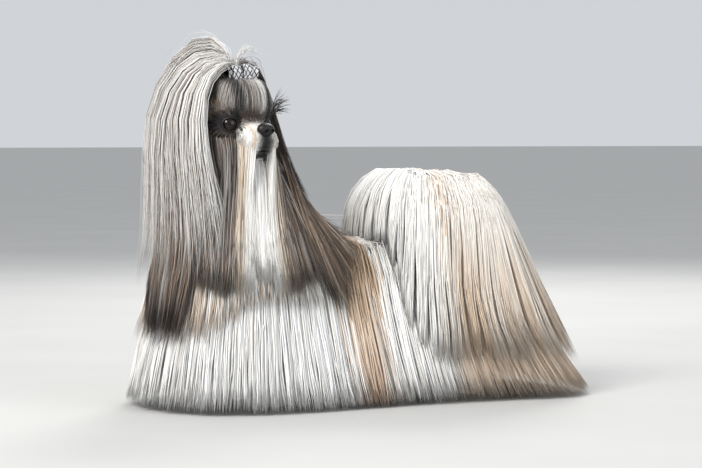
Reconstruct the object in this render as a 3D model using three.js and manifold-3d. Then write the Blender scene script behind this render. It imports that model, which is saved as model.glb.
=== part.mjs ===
// A shih tzu in full show coat, standing with its head turned to its left, at life size.
// Millimetres. +X is the way the body faces, +Y its left side, +Z up; the floor is z = 0.
import * as THREE from "three";
import { mergeVertices } from "three/addons/utils/BufferGeometryUtils.js";
import Module from "manifold-3d";

const wasm = await Module();
wasm.setup();

// Driving sizes
const SEED = 7;
const GAP = 0.35; // left between neighbouring nodes
const SLIVER = 0.1; // edges and steps under this size are closed up after a union
const HEM_Z = 2.5; // the tips of the coat hang this far over the floor
const BACK_Z = 228; // top of the coat along the back
const BELLY_Z = 106; // underside of the body, where the legs leave it
const CORE_DEPTH = 18; // the body under the locks lies this far inside the coat
const COAT_LOCKS = 22; // locks that hang from each side of the spine
const BREAST_CUT = 8; // locks on each side that belong to the chest
const RUMP_CUT = 14; // locks on each side that belong to chest and torso
const HEAD_AT = new THREE.Vector3(165, 0, 365); // middle of the skull
const HEAD_TURN = 105; // degrees from +X to the way the face looks
const RUFF_AT = new THREE.Vector3(138, 0, 0); // the ruff falls round this upright
const REST_SHIFT = new THREE.Vector3(23.7, -1.5, 0); // brings the middle of the whole over the floor's origin

const { cos, sin, abs, min, max, hypot, PI } = Math;
const { clamp, lerp, smoothstep, degToRad } = THREE.MathUtils;
const v3 = (x, y, z) => new THREE.Vector3(x, y, z);
const UP = v3(0, 0, 1);

// A small seeded generator, so that every build draws the same coat.
let state = SEED;
function random() {
  state = (state * 1664525 + 1013904223) % 4294967296;
  return state / 4294967296;
}
const vary = (size, share) => size * (1 + share * (2 * random() - 1));

// Moves every vertex of a closed three.js shape and welds it into one surface.
function sculpt(geometry, move) {
  const shape = geometry.clone();
  shape.deleteAttribute("normal");
  shape.deleteAttribute("uv");
  const at = shape.getAttribute("position");
  const p = v3();
  for (let i = 0; i < at.count; i++) {
    move(p.fromBufferAttribute(at, i));
    at.setXYZ(i, p.x, p.y, p.z);
  }
  return mergeVertices(shape, 1e-3);
}

function solid(shape) {
  const welded = shape.index ? shape : mergeVertices(shape, 1e-3);
  const corners = new Uint32Array(welded.index.array);
  const mesh = () => ({
    numProp: 3,
    vertProperties: new Float32Array(welded.getAttribute("position").array),
    triVerts: corners,
  });
  let made = new wasm.Manifold(new wasm.Mesh(mesh()));
  if (made.volume() < 0) {
    for (let i = 0; i < corners.length; i += 3)
      [corners[i + 1], corners[i + 2]] = [corners[i + 2], corners[i + 1]];
    made = new wasm.Manifold(new wasm.Mesh(mesh()));
  }
  return made;
}

// The largest closed surface of a solid.
function largest(body) {
  const loose = body.decompose();
  return loose.reduce((a, b) => (b.volume() > a.volume() ? b : a));
}

function geometryOf(body) {
  const mesh = body.getMesh();
  const at = new Float32Array(mesh.numVert * 3);
  for (let i = 0; i < mesh.numVert; i++)
    at.set(mesh.vertProperties.subarray(i * mesh.numProp, i * mesh.numProp + 3), i * 3);
  const shape = new THREE.BufferGeometry();
  shape.setAttribute("position", new THREE.BufferAttribute(at, 3));
  shape.setIndex(new THREE.BufferAttribute(new Uint32Array(mesh.triVerts), 1));
  return shape;
}

// Nodes are placed one after another; each is cut clear of those that came before it.
const dog = new THREE.Group();
const placed = [];
const finish = (colour, roughness, metalness = 0) =>
  new THREE.MeshStandardMaterial({ color: colour, roughness, metalness });

// pieces(grow) lists the closed shapes of a node, each swollen by grow all round.
function place(name, material, pieces) {
  const fuse = (grow) => wasm.Manifold.union(pieces(grow).map((p) => (p.isBufferGeometry ? solid(p) : p)));
  let body = fuse(0);
  for (const other of placed) body = body.subtract(other);
  placed.push(fuse(GAP));
  const mesh = new THREE.Mesh(geometryOf(largest(body.simplify(SLIVER))), material);
  mesh.name = name;
  dog.add(mesh);
}

// Coat of the body: how it hangs from the spine down to the hem

// From breast to rump: x on the spine, heading in degrees, and how far the hem stands out at the floor
const HEM = new THREE.CatmullRomCurve3([
  v3(130, 0, 156),
  v3(130, 34, 157),
  v3(126, 64, 152),
  v3(88, 83, 146),
  v3(25, 90, 143),
  v3(-50, 96, 146),
  v3(-105, 112, 165),
  v3(-122, 140, 222),
  v3(-130, 180, 205),
]);
// Share of the hem's reach, and height, from the parting down to the hem
const profile = (pairs) => new THREE.SplineCurve(pairs.map(([a, b]) => new THREE.Vector2(a, b)));
const FRONT_FALL = profile([
  [0.1, 220], [0.42, 205], [0.64, 168], [0.78, 126], [0.88, 82], [0.94, 42], [1, HEM_Z],
]);
const SIDE_FALL = profile([
  [0.1, BACK_Z], [0.4, 211], [0.52, 176], [0.62, 132], [0.74, 88], [0.87, 44], [1, HEM_Z],
]);
const REAR_FALL = profile([
  [0.08, 222], [0.3, 208], [0.45, 174], [0.58, 130], [0.72, 88], [0.86, 44], [1, HEM_Z],
]);

// A point of the coat: way round from breast (0) to rump (1, or -1 on the right), way down, and lift
function coatPoint(round, down, lift = 0) {
  const side = Math.sign(round) || 1;
  const hem = HEM.getPoint(clamp(abs(round), 0, 1));
  const heading = degToRad(hem.y) * side;
  const front = smoothstep(cos(heading), 0, 0.9);
  const rear = smoothstep(-cos(heading), 0, 0.9);
  const weigh = (q) => {
    const p = SIDE_FALL.getPoint(q).multiplyScalar(1 - front - rear);
    p.addScaledVector(FRONT_FALL.getPoint(q), front);
    return p.addScaledVector(REAR_FALL.getPoint(q), rear);
  };
  const here = weigh(down);
  const step = weigh(min(1, down + 0.02)).sub(weigh(max(0, down - 0.02)));
  const slope = new THREE.Vector2(step.x * hem.z, step.y).normalize();
  const reach = max(0, here.x * hem.z - slope.y * lift);
  return v3(hem.x + reach * cos(heading), reach * sin(heading), here.y + slope.x * lift);
}

// The hem is parted into equal lengths, each the width of one lock
const hemPoint = (round) => coatPoint(round, 1);
function equalParts(count) {
  const STEPS = 240;
  const ticks = [0];
  for (let i = 1; i <= STEPS; i++)
    ticks.push(ticks[i - 1] + hemPoint(i / STEPS).distanceTo(hemPoint((i - 1) / STEPS)));
  return (share) => {
    const goal = clamp(share / count, 0, 1) * ticks[STEPS];
    const i = max(1, ticks.findIndex((length) => length >= goal));
    return (i - 1 + (goal - ticks[i - 1]) / (ticks[i] - ticks[i - 1])) / STEPS;
  };
}
const lockRound = equalParts(COAT_LOCKS);

// The body under the coat: the fall of the coat, drawn in, and closed by a belly
const CORE_FALL = 0.56; // share of the fall where the belly turns in
function bodyForm(grow) {
  return sculpt(new THREE.CylinderGeometry(1, 1, 1, 32, 6), (p) => {
    const turn = Math.atan2(p.z, p.x) / PI;
    const onAxis = hypot(p.x, p.z) < 0.5;
    const down = clamp(0.5 - p.y, 0, 1);
    const floor = BELLY_Z - grow;
    const top = BACK_Z + 1 - CORE_DEPTH + grow;
    if (onAxis) {
      p.set(p.y > 0 ? 40 : 0, 0, p.y > 0 ? top : floor);
      return;
    }
    p.copy(coatPoint(turn, CORE_FALL * down, grow - CORE_DEPTH));
    if (down > 0.999) p.z = floor;
  });
}
// A length of the body between two cuts that follow the fall of the coat on both sides
function bodyLength(from, to, grow) {
  const cut = (part) => {
    const at = HEM.getPoint(lockRound(part));
    return { x: at.x, lean: cos(degToRad(at.y)) / sin(degToRad(at.y)) };
  };
  const ahead = from > 0 ? cut(from) : { x: 500, lean: 0 };
  const behind = to < COAT_LOCKS ? cut(to) : { x: -500, lean: 0 };
  const slab = sculpt(new THREE.BoxGeometry(2, 900, 900, 1, 2, 1), (p) => {
    const edge = p.x > 0 ? ahead : behind;
    p.x = edge.x + edge.lean * abs(p.y) + Math.sign(p.x) * grow;
  });
  return solid(bodyForm(grow)).intersect(solid(slab));
}

// Finishes, from the photograph
const WHITE = finish(0xe8e4dc, 0.85);
const GOLD = finish(0xcfa983, 0.85);
const SMOKE = finish(0x6b6058, 0.85);
const LEATHER = finish(0x141313, 0.45);
const EYE = finish(0x1c110b, 0.08);
const RIBBON = finish(0xf2f2f4, 0.5);
const ELASTIC = finish(0x0c0c0e, 0.6);

// Axes across and out of a line that runs one way, its flat side turned to face outwards
function frameOn(way, outward) {
  const out = outward.clone().addScaledVector(way, -outward.dot(way)).normalize();
  return [way.clone().cross(out), out];
}

// A closed form along a line: size(u) gives half its width and half its depth there
function tube(line, size, sides, steps, outward, grow) {
  const curve = new THREE.CatmullRomCurve3(line);
  return sculpt(new THREE.CylinderGeometry(1, 1, 1, sides, steps), (p) => {
    const u = clamp(0.5 - p.y, 0, 1);
    const way = curve.getTangentAt(u);
    const [across, out] = frameOn(way, outward);
    const [wide, deep] = size(u);
    const end = u < 0.001 ? -grow : u > 0.999 ? grow : 0;
    const [a, b] = [p.x * (wide + grow), p.z * (deep + grow)];
    p.copy(curve.getPointAt(u)).addScaledVector(across, a);
    p.addScaledVector(out, b).addScaledVector(way, end);
  });
}

// A flat, tapered lock of hair along a line, turned away from a middle that it hangs round.
// Half its width is given at the root and where it is widest.
function lock(line, middle, [atRoot, atWidest], steps, grow) {
  const curve = new THREE.CatmullRomCurve3(line);
  // a ridge over a flat underside; the swollen lock is a flat box round it
  return sculpt(new THREE.CylinderGeometry(1, 0, 1, grow > 0 ? 4 : 3, steps), (p) => {
    const u = clamp(0.5 - p.y, 0, 1);
    const way = curve.getTangentAt(u);
    const at = curve.getPointAt(u);
    const [across, out] = frameOn(way, at.clone().sub(middle));
    const rim = max(hypot(p.x, p.z), 1e-6);
    const taper = 1 - max(0, (u - 0.55) / 0.45) ** 2;
    const wide = lerp(atRoot, atWidest, smoothstep(u, 0, 0.5)) * taper;
    const deep = LOCK_DEPTH * (1 - 0.5 * u);
    let [a, b] = [(p.x / rim) * wide * 1.15, (p.z / rim) * deep];
    if (grow > 0)
      [a, b] = [Math.sign(p.x + p.z) * (wide + grow), p.z - p.x > 0 ? deep + grow : -deep / 2 - grow];
    if (u < 0.001 && hypot(p.x, p.z) < 1e-6) [a, b] = [0, 0];
    const end = u < 0.001 ? -grow : u > 0.999 ? 2 * grow : 0;
    p.copy(at).addScaledVector(across, a).addScaledVector(out, b).addScaledVector(way, end);
    p.z = max(p.z, HEM_Z / 2);
  });
}
const LOCK_DEPTH = 2; // height of a lock's ridge at its root, over an underside half as deep
// Locks are drawn once and made for each swelling of their node
const strands = (list) => (grow) => list.map((draw) => draw(grow));

const ball = (at, radii, around, along, grow = 0) =>
  sculpt(new THREE.SphereGeometry(1, around, along), (p) => {
    p.set(p.x * (radii.x + grow), p.y * (radii.y + grow), p.z * (radii.z + grow)).add(at);
  });

// Head frame: forward along the face, right to the dog's right, up
const FACE = v3(cos(degToRad(HEAD_TURN)), sin(degToRad(HEAD_TURN)), 0);
const HEAD_RIGHT = v3(FACE.y, -FACE.x, 0);
function onHead(forward, right, up) {
  const at = HEAD_AT.clone().addScaledVector(FACE, forward);
  return at.addScaledVector(HEAD_RIGHT, right).addScaledVector(UP, up);
}

// Lumps that the head is made of: middle and half sizes, forward, right and up
const EYE_SET = v3(37, 28, -15);
const EYE_R = 11.2;
const NOSE_AT = v3(73, 0, -22);
const HEAD_LUMPS = [
  [0, 0, 0, 53, 48, 45],
  [24, 0, 12, 32, 40, 32],
  [16, 27, -20, 30, 23, 26],
  [16, -27, -20, 30, 23, 26],
  [48, 0, -31, 27, 25, 19],
  [60, 12, -36, 15, 14, 14],
  [60, -12, -36, 15, 14, 14],
  [50, 0, -52, 16, 15, 11],
  [36, 25, 4, 13, 15, 10],
  [36, -25, 4, 13, 15, 10],
];
function lumpDistance(f, r, u, [cf, cr, cu, a, b, c]) {
  const x = (f - cf) / a;
  const y = (r - cr) / b;
  const z = (u - cu) / c;
  const near = hypot(x, y, z);
  const steep = hypot(x / a, y / b, z / c);
  return steep < 1e-9 ? -min(a, b, c) : (near * (near - 1)) / steep;
}
function headDistance(at) {
  const SOFT = 9;
  return HEAD_LUMPS.reduce((total, lump) => {
    const d = lumpDistance(at.x, at.y, at.z, lump);
    const h = max(SOFT - abs(total - d), 0) / SOFT;
    return min(total, d) - (h * h * SOFT) / 4;
  }, 1e3);
}
// The head's surface, seen from a point inside it along one way
function headReach(from, way) {
  let t = 120;
  for (let i = 0; i < 60; i++) {
    const d = headDistance(from.clone().addScaledVector(way, t));
    if (abs(d) < 0.05) break;
    t -= d * 0.7;
  }
  return t;
}
const HEAD_MIDDLE = v3(20, 0, -12);
function onSkin(from, way, lift) {
  const at = from.clone().addScaledVector(way, headReach(from, way) + lift);
  return onHead(at.x, at.y, at.z);
}
// The point of the skin, or lifted off it, towards a place in the head frame
const skin = (forward, right, up, lift = 0) =>
  onSkin(HEAD_MIDDLE, v3(forward, right, up).sub(HEAD_MIDDLE).normalize(), lift);
// The sphere's pole looks forward, so that its rings close in on the muzzle
const headForm = (grow) =>
  sculpt(new THREE.SphereGeometry(1, 24, 16), (p) => {
    p.copy(onSkin(HEAD_MIDDLE, v3(p.y, p.x, p.z), grow));
  });
const headBall = (f, r, u, size, around, along, grow = 0) =>
  ball(onHead(f, r, u), v3(size, size, size), around, along, grow);

// Eyes
const SIDES = [["right", 1], ["left", -1]];
for (const [name, side] of SIDES)
  place(`eye_${name}`, EYE, (grow) => [headBall(EYE_SET.x, side * EYE_SET.y, EYE_SET.z, EYE_R, 11, 6, grow)]);

// Nose leather, with its two nostrils
place("nose", LEATHER, (grow) => {
  const pad = solid(ball(onHead(NOSE_AT.x, NOSE_AT.y, NOSE_AT.z), v3(11.5, 7.5, 8), 12, 7, grow));
  if (grow > 0) return [pad];
  return [SIDES.reduce((left, [, side]) => {
    const at = onHead(NOSE_AT.x + 7, side * 5, NOSE_AT.z - 1);
    return left.subtract(solid(ball(at, v3(2.2, 3.6, 1.8), 6, 5)));
  }, pad)];
});

// Bow: an elastic round the foot of the topknot, and three ribbon loops in front of it
const KNOT_AT = v3(24, 0, 49);
const KNOT_R = 8.5;
const ELASTIC_R = 2.4;
const RIBBON_WIDE = 12.6;
const RIBBON_THICK = 1;
const LOOP = { apart: 13.4, long: 10.8, deep: 4.8 };
place("bow_band", ELASTIC, (grow) => [
  sculpt(new THREE.TorusGeometry(KNOT_R, ELASTIC_R + grow, 5, 12), (p) =>
    p.add(onHead(KNOT_AT.x, KNOT_AT.y, KNOT_AT.z))),
]);
[-1, 0, 1].forEach((side) => {
  const at = onHead(KNOT_AT.x + 16.2 - abs(side) * 3, side * LOOP.apart, KNOT_AT.z + (side ? 0 : 2));
  const lean = UP.clone().addScaledVector(HEAD_RIGHT, side * 0.2).normalize();
  place(`bow_loop_${side + 2}`, RIBBON, (grow) => {
    const oval = (path, swell) => path.absellipse(0, 0, LOOP.long + swell, LOOP.deep + swell, 0, 2 * PI);
    const outline = oval(new THREE.Shape(), grow);
    if (grow === 0) outline.holes.push(oval(new THREE.Path(), -RIBBON_THICK));
    const drawnOut = { depth: RIBBON_WIDE, bevelEnabled: false, curveSegments: 5 };
    const band = new THREE.ExtrudeGeometry(outline, drawnOut);
    return [sculpt(band, (p) => {
      const across = (p.z / RIBBON_WIDE - 0.5) * (RIBBON_WIDE + 2 * grow);
      const [along, through] = [p.x, p.y];
      p.copy(at).addScaledVector(lean, along);
      p.addScaledVector(FACE, through).addScaledVector(HEAD_RIGHT, across);
    })];
  });
});

// Legs: a pillar or a bent hind leg, and a paw with four toes on a flat sole
const PAW = v3(27, 18, 26);
function pawForm(x, y, grow) {
  return sculpt(new THREE.SphereGeometry(1, 12, 6), (p) => {
    const ahead = max(0, p.x);
    const toes = 1 - 0.09 * ahead * abs(sin(4.2 * Math.atan2(p.y, p.x)));
    const z = (p.z * 0.75 + 0.45) * (PAW.z + grow);
    p.set(x + 8 + p.x * toes * (PAW.x + grow), y + p.y * (PAW.y + grow), max(z, -grow));
  });
}
for (const [where, hip, hock, foot, thick] of [
  ["front", v3(112, 46, BELLY_Z + 22), v3(110, 48, 62), v3(112, 48, 14), 19],
  ["hind", v3(-128, 46, BELLY_Z + 22), v3(-176, 50, 62), v3(-168, 50, 14), 20],
])
  for (const [name, side] of [["left", 1], ["right", -1]]) {
    const line = [hip, hock, foot].map((p) => v3(p.x, p.y * side, p.z));
    const fringe = [];
    for (let i = 0; i < 3; i++) {
      const heading = degToRad(60 + 120 * i + 20 * random());
      const middle = v3(hock.x, hock.y * side, 40);
      const ring = (reach, z) => v3(middle.x + reach * cos(heading), middle.y + reach * sin(heading), z);
      const run = [ring(thick - 12, 66), ring(thick - 1, 56), ring(thick + 5, 34), ring(thick + 9, 9)];
      fringe.push((grow) => lock(run, middle, [7, 12], 3, grow));
    }
    place(`leg_${where}_${name}`, WHITE, (grow) => [
      tube(line, (u) => [lerp(thick, 13, u), lerp(thick + 3, 14, u)], 7, 3, v3(0, 1, 0), grow),
      pawForm(foot.x, foot.y * side, grow),
      ...strands(fringe)(grow),
    ]);
  }

// The curtain of the coat: locks that part along the spine and hang to the floor
function coatLock(round, lift, half) {
  const tip = lerp(0.955, 1, random());
  const spine = HEM.getPoint(abs(round));
  const middle = v3(spine.x, 0, 60);
  // over the breast and the rump the locks start lower, where they have room beside each other
  const start = lerp(0.06, 0.34, smoothstep(abs(cos(degToRad(spine.y))), 0.1, 0.7));
  const run = [[0, -CORE_DEPTH - 3], [0.12, lift], [0.35, lift], [0.6, lift], [0.82, lift], [1, lift]].map(
    ([share, depth]) => coatPoint(round, lerp(start, tip, share), depth),
  );
  const beside = coatPoint(round, start).distanceTo(coatPoint(round + 0.5 / COAT_LOCKS, start));
  return (grow) => lock(run, middle, [clamp(beside * 0.8, 4, 10), half], 5, grow);
}
// Shorter locks that grow low on the body and close the gaps between the tips
function underLock(round) {
  const run = [[0.5, -CORE_DEPTH - 5], [0.64, -11.5], [0.8, -11.5], [0.985, -12.5]].map(
    ([down, depth]) => coatPoint(round, down, depth),
  );
  return (grow) => lock(run, v3(HEM.getPoint(abs(round)).x, 0, 60), [12, 24], 3, grow);
}
for (const [name, material, from, to] of [
  ["torso", GOLD, BREAST_CUT, RUMP_CUT],
  ["chest", WHITE, 0, BREAST_CUT],
  ["rump", GOLD, RUMP_CUT, COAT_LOCKS],
]) {
  const list = [];
  for (const side of [1, -1])
    for (let i = from; i < to; i++) {
      const outer = (i + (side > 0 ? 0 : 1)) % 2 === 0;
      list.push(coatLock(side * lockRound(i + 0.5), outer ? -1.6 : -6.6, vary(21.5, 0.03)));
      if (i + 1 < to && i % 2) list.push(underLock(side * lockRound(i + 1)));
    }
  place(name, material, (grow) => [bodyLength(from, to, grow), ...strands(list)(grow)]);
}

// The ruff and the long hair of the head hang round the neck, clear of the coat of the body
const RUFF_FALL = profile([
  [0, 30], [0.1, 44], [0.24, 58], [0.4, 74], [0.56, 90], [0.72, 103], [0.87, 112], [1, 120],
]);
const RUFF_TOP = 340;
const RUFF_FOOT = 100;
// Outline of the body's coat at one height, seen from an upright: headings and reaches
const outlines = new Map();
function coatOutline(upright, z) {
  const level = Math.round(z / 4) * 4;
  const key = `${upright.x} ${level}`;
  if (outlines.has(key)) return outlines.get(key);
  const AROUND = 96;
  const ring = [];
  for (let i = 0; i <= AROUND; i++) {
    const round = (2 * i) / AROUND - 1;
    let [high, low] = [0.02, 1];
    for (let k = 0; k < 9; k++) {
      const half = (high + low) / 2;
      if (coatPoint(round, half).z > level) high = half;
      else low = half;
    }
    const at = coatPoint(round, low).sub(upright);
    ring.push([Math.atan2(at.y, at.x), hypot(at.x, at.y)]);
  }
  outlines.set(key, ring);
  return ring;
}
// How far the coat of the body stands out from an upright
function coatReach(upright, heading, z) {
  if (z > BACK_Z) return 0;
  const ring = coatOutline(upright, z);
  let reach = 0;
  for (let i = 1; i < ring.length; i++) {
    const [before, here] = [ring[i - 1], ring[i]];
    const between = (before[0] - heading) * (here[0] - heading) <= 0 && abs(before[0] - here[0]) < 1;
    const share = (heading - before[0]) / (here[0] - before[0] || 1);
    if (between) reach = max(reach, lerp(before[1], here[1], share));
  }
  return reach;
}
// A point of the ruff: heading in degrees, height, and how far it lies outside the ruff's own surface
function ruffPoint(degrees, z, lift) {
  const heading = Math.atan2(sin(degToRad(degrees)), cos(degToRad(degrees)));
  const q = clamp((RUFF_TOP - z) / (RUFF_TOP - RUFF_FOOT), 0, 1);
  const face = 1 - 0.1 * max(0, cos(heading - degToRad(95))) ** 4;
  const swell = RUFF_FALL.getPoint(q).y * (1 + 0.1 * max(0, cos(heading))) * face;
  const reach = max(swell, coatReach(RUFF_AT, heading, z) + 7) + lift;
  const axis = lerp(RUFF_AT.x + 20, RUFF_AT.x, smoothstep(q, 0, 0.4));
  return v3(axis + reach * cos(heading), reach * sin(heading), z);
}

// Head: skull and muzzle, lids round the eyes, lips along the line of the mouth
const LID_R = EYE_R + 2.6;
const lidBall = (side, grow) => headBall(EYE_SET.x, side * EYE_SET.y, EYE_SET.z, LID_R, 9, 6, grow);
function lidForm(side) {
  const eye = v3(EYE_SET.x, side * EYE_SET.y, EYE_SET.z);
  const gaze = v3(0.93, side * 0.37, 0).normalize();
  const opening = ball(v3(), v3(14, 9.8, 7.6), 9, 5);
  const turned = sculpt(opening, (p) => {
    const across = v3(-gaze.y, gaze.x, 0);
    const at = eye.clone().addScaledVector(gaze, p.x + 13).addScaledVector(across, p.y);
    p.copy(onHead(at.x, at.y, at.z + p.z));
  });
  return solid(lidBall(side, 0)).subtract(solid(turned));
}
// The lips meet along a line round the front of the muzzle
const MOUTH_MIDDLE = v3(44, 0, -47);
function mouthLine(up) {
  const line = [];
  for (let degrees = -60; degrees <= 60; degrees += 20) {
    const way = v3(cos(degToRad(degrees)), sin(degToRad(degrees)), 0);
    line.push(onSkin(MOUTH_MIDDLE.clone().setZ(MOUTH_MIDDLE.z + up - abs(degrees) * 0.03), way, 0));
  }
  return line;
}
const lip = (up, size, grow = 0) => tube(mouthLine(up), () => [size, size], 4, 6, UP, grow);
// Hair of the brow and crown is drawn up from a ring round the skull to the foot of the topknot
const drawn = [];
const CROWN_LOCKS = 9;
for (let i = 0; i < CROWN_LOCKS; i++) {
  const turn = (2 * PI * (i + 0.5)) / CROWN_LOCKS;
  const strand = (share, lift) =>
    skin(lerp(22 + 42 * cos(turn), KNOT_AT.x + 11 * cos(turn), share), lerp(42, 10, share) * sin(turn),
      lerp(10 + 6 * sin(turn) ** 2, 44, share), lift);
  const run = [strand(0, -5), strand(0.2, 3.2), strand(0.6, 3.4), strand(0.94, 3)];
  drawn.push((grow) => lock(run, onHead(0, 0, -20), [6, 9], 4, grow));
}
// Hair that falls from the head: out from its root, then down the veil that hangs outside the ruff
const VEIL = 9;
const veil = (degrees, z, lift = 0) => ruffPoint(degrees, z, VEIL + lift);
function fallLock(root, out, degrees, foot, lift, half, steps = 7, drift = 0) {
  const top = out.z - 35;
  const aside = out.clone().addScaledVector(out.clone().sub(HEAD_AT).setZ(0).normalize(), lift);
  const falls = [0.25, 0.6, 1].map((share) => veil(degrees + drift * share, lerp(top, foot, share), lift));
  const run = [root, aside, ...falls];
  return (grow) => lock(run, v3(RUFF_AT.x + 8, 0, 250), [half * 0.35, half], steps, grow);
}
const cheeks = [];
for (const [, side] of SIDES)
  for (let i = 0; i < 3; i++) {
    const root = skin(8 + 11 * i, side * 44, -14 - 7 * i, -5);
    const out = skin(8 + 11 * i, side * 46, -26 - 7 * i, 6);
    const degrees = side > 0 ? 38 + 5 * i : 117 - 6 * i;
    cheeks.push(fallLock(root, out, degrees, 150 - 10 * (i % 2), i % 2 ? -2.4 : 2.2, vary(8, 0.1), 5));
  }
place("head", SMOKE, (grow) => {
  const bare = solid(headForm(grow));
  const lipped = wasm.Manifold.union([bare, ...[2.4, -2.6].map((up) => solid(lip(up, 2.4, grow)))]);
  if (grow > 0) {
    const lids = SIDES.map(([, side]) => lidBall(side, grow));
    return [lipped, ...lids, ...strands(cheeks)(grow), ...strands(drawn)(grow)];
  }
  const face = lipped.subtract(solid(lip(0, 0.9)));
  return [face, ...SIDES.map(([, side]) => lidForm(side)), ...strands(cheeks)(0), ...strands(drawn)(0)];
});

// Neck, under a ruff whose locks end on the breast, the shoulders and the withers
const ruff = [];
const RUFF_LOCKS = 16;
for (let i = 0; i < RUFF_LOCKS; i++) {
  const degrees = -180 + (360 * (i + 0.5)) / RUFF_LOCKS;
  const lift = i % 2 ? -3.6 : 1.4;
  const behind = smoothstep(abs(degrees), 100, 165);
  const under = smoothstep(-abs(degrees - 88), -45, -20);
  const foot = lerp(lerp(105, 243, behind), 150, under * (1 - behind)) + 6 * random();
  const run = [[0, -16], [0.16, lift], [0.4, lift], [0.7, lift], [1, lift]].map(([down, depth]) =>
    ruffPoint(degrees, lerp(lerp(292, 258, under), foot, down), depth));
  ruff.push((grow) => lock(run, v3(RUFF_AT.x + 10, 0, 240), [6, 25], 5, grow));
}
const NECK_LINE = [v3(120, 0, 190), v3(134, 0, 235), v3(154, -1, 295), v3(163, -2, 345)];
place("neck", WHITE, (grow) => [
  tube(NECK_LINE, (u) => [lerp(50, 40, u), lerp(52, 40, u)], 18, 5, v3(1, 0, 0), grow),
  ...strands(ruff)(grow),
]);

// Moustaches and beard
for (const [name, side] of SIDES) {
  const pad = skin(54, side * 22, -32, 2);
  const list = [];
  for (let i = 0; i < 4; i++) {
    const root = pad.clone().addScaledVector(HEAD_RIGHT, side * (3 * i - 4)).addScaledVector(FACE, 4 - 2 * i);
    const out = onHead(74 - 3.5 * i, side * (23 + 4 * i), -46 - 3 * i);
    const degrees = side > 0 ? 66 - 4.6 * i : 86 + 4 * i;
    list.push(fallLock(root, out, degrees, 134 + 12 * random(), i % 2 ? -2.2 : 2.2, side > 0 ? 8.6 : 7, 6));
  }
  place(`moustache_${name}`, SMOKE, (grow) => [ball(pad, v3(9, 8, 7.5), 8, 5, grow), ...strands(list)(grow)]);
}
const beard = [];
const chin = skin(54, 0, -66, 2);
for (let i = 0; i < 5; i++) {
  const across = (i - 2) / 2;
  const root = chin.clone().addScaledVector(HEAD_RIGHT, across * 8).addScaledVector(FACE, 4);
  const out = onHead(68, 3 + across * 13, -80);
  beard.push(fallLock(root, out, 76 - 7 * across, 158 + 14 * abs(across), i % 2 ? -2.2 : 2.2, 6.6, 6));
}
place("beard", WHITE, (grow) => [ball(chin, v3(12, 8, 7), 8, 5, grow), ...strands(beard)(grow)]);

// Ears: a hanging leather, cupped on its inner side, and the long hair that falls from it
for (const [name, side] of SIDES) {
  const leather = (grow) =>
    sculpt(new THREE.SphereGeometry(1, 12, 7), (p) => {
      const [along, wide] = [p.y, p.x];
      const cup = 7 * (1 - wide * wide) * (1 - along * along * 0.6);
      const outward = 57 + cup + p.z * (2.4 + grow) - 7 * along;
      const at = v3(-8 + wide * (19 + grow), outward, -12 + along * (34 + grow));
      p.copy(onHead(at.x, side * at.y, at.z));
    });
  const list = [];
  const EAR_LOCKS = 8;
  for (let i = 0; i < EAR_LOCKS; i++) {
    const share = i / (EAR_LOCKS - 1);
    const round = lerp(-0.6, PI + 0.6, share);
    const root = onHead(-8 + 15 * cos(round), side * 63, -22 - 18 * sin(round));
    const puff = side > 0 ? 96 : 84;
    const out = onHead(lerp(30, -46, share), side * puff, -62 - 12 * sin(max(0, round)));
    const degrees = side > 0 ? lerp(31, -38, share) : lerp(123, 212, share);
    const far = abs(degrees > 180 ? 360 - degrees : degrees);
    // the near ear's hair draws in towards the breast as it falls, and is shorter behind
    const foot = side > 0
      ? lerp(92, 150, smoothstep(share, 0.6, 1)) + 14 * random()
      : lerp(112, 250, smoothstep(far, 128, 165)) + 5 * random();
    const drift = side > 0 ? lerp(-3, 32, share) : 0;
    list.push(fallLock(root, out, degrees, foot, i % 2 ? -2.3 : 2.3, side > 0 ? 16 : 14, 6, drift));
  }
  place(`ear_${name}`, SMOKE, (grow) => [leather(grow), ...strands(list)(grow)]);
}

// Topknot: drawn up through the elastic, then it opens and falls over the back of the skull
const KNOT_TOP = KNOT_AT.x - 4;
const NAPE = -10; // the upright that the spray falls round, behind the middle of the skull
const knotTop = onHead(KNOT_TOP, 0, KNOT_AT.z + 20);
const spray = [];
const SPRAY_LOCKS = 8;
for (let i = 0; i < SPRAY_LOCKS; i++) {
  // each way is an angle from the face, round by the dog's right to the back and its left
  const degrees = lerp(64, 300, (i + 0.5) / SPRAY_LOCKS);
  const way = degToRad(degrees);
  // it stands out widest on the right and behind, and rises highest over the right of the nape
  const spread = 1 - 0.22 * max(0, cos(way - degToRad(315)));
  const rise = Math.exp(-(((degrees - 150) / 48) ** 2));
  const ring = (middle, reach, up) =>
    onHead(middle + reach * spread * cos(way), reach * spread * sin(way), up);
  const high = lerp(66, 106, rise) - 4 * random();
  const foot = lerp(-70, -140, random());
  const run = [
    ring(KNOT_TOP, 5, 60), ring(KNOT_TOP, 18, high - 6), ring(KNOT_TOP, 44, high),
    ring(NAPE, 67, lerp(52, 78, rise)), ring(NAPE, 81, lerp(24, 38, rise)), ring(NAPE, 91, -12),
    ring(NAPE, 98, foot),
  ];
  spray.push((grow) => lock(run, onHead(0, 0, 0), [2.6, vary(18.5, 0.1)], 6, grow));
}
place("topknot", WHITE, (grow) => [
  tube([onHead(KNOT_AT.x, 0, 40), onHead(KNOT_AT.x, 0, 52), knotTop],
    (u) => [lerp(4.4, 9, u ** 3), lerp(4.4, 9, u ** 3)], 8, 3, FACE, grow),
  ...strands(spray)(grow),
]);

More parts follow.
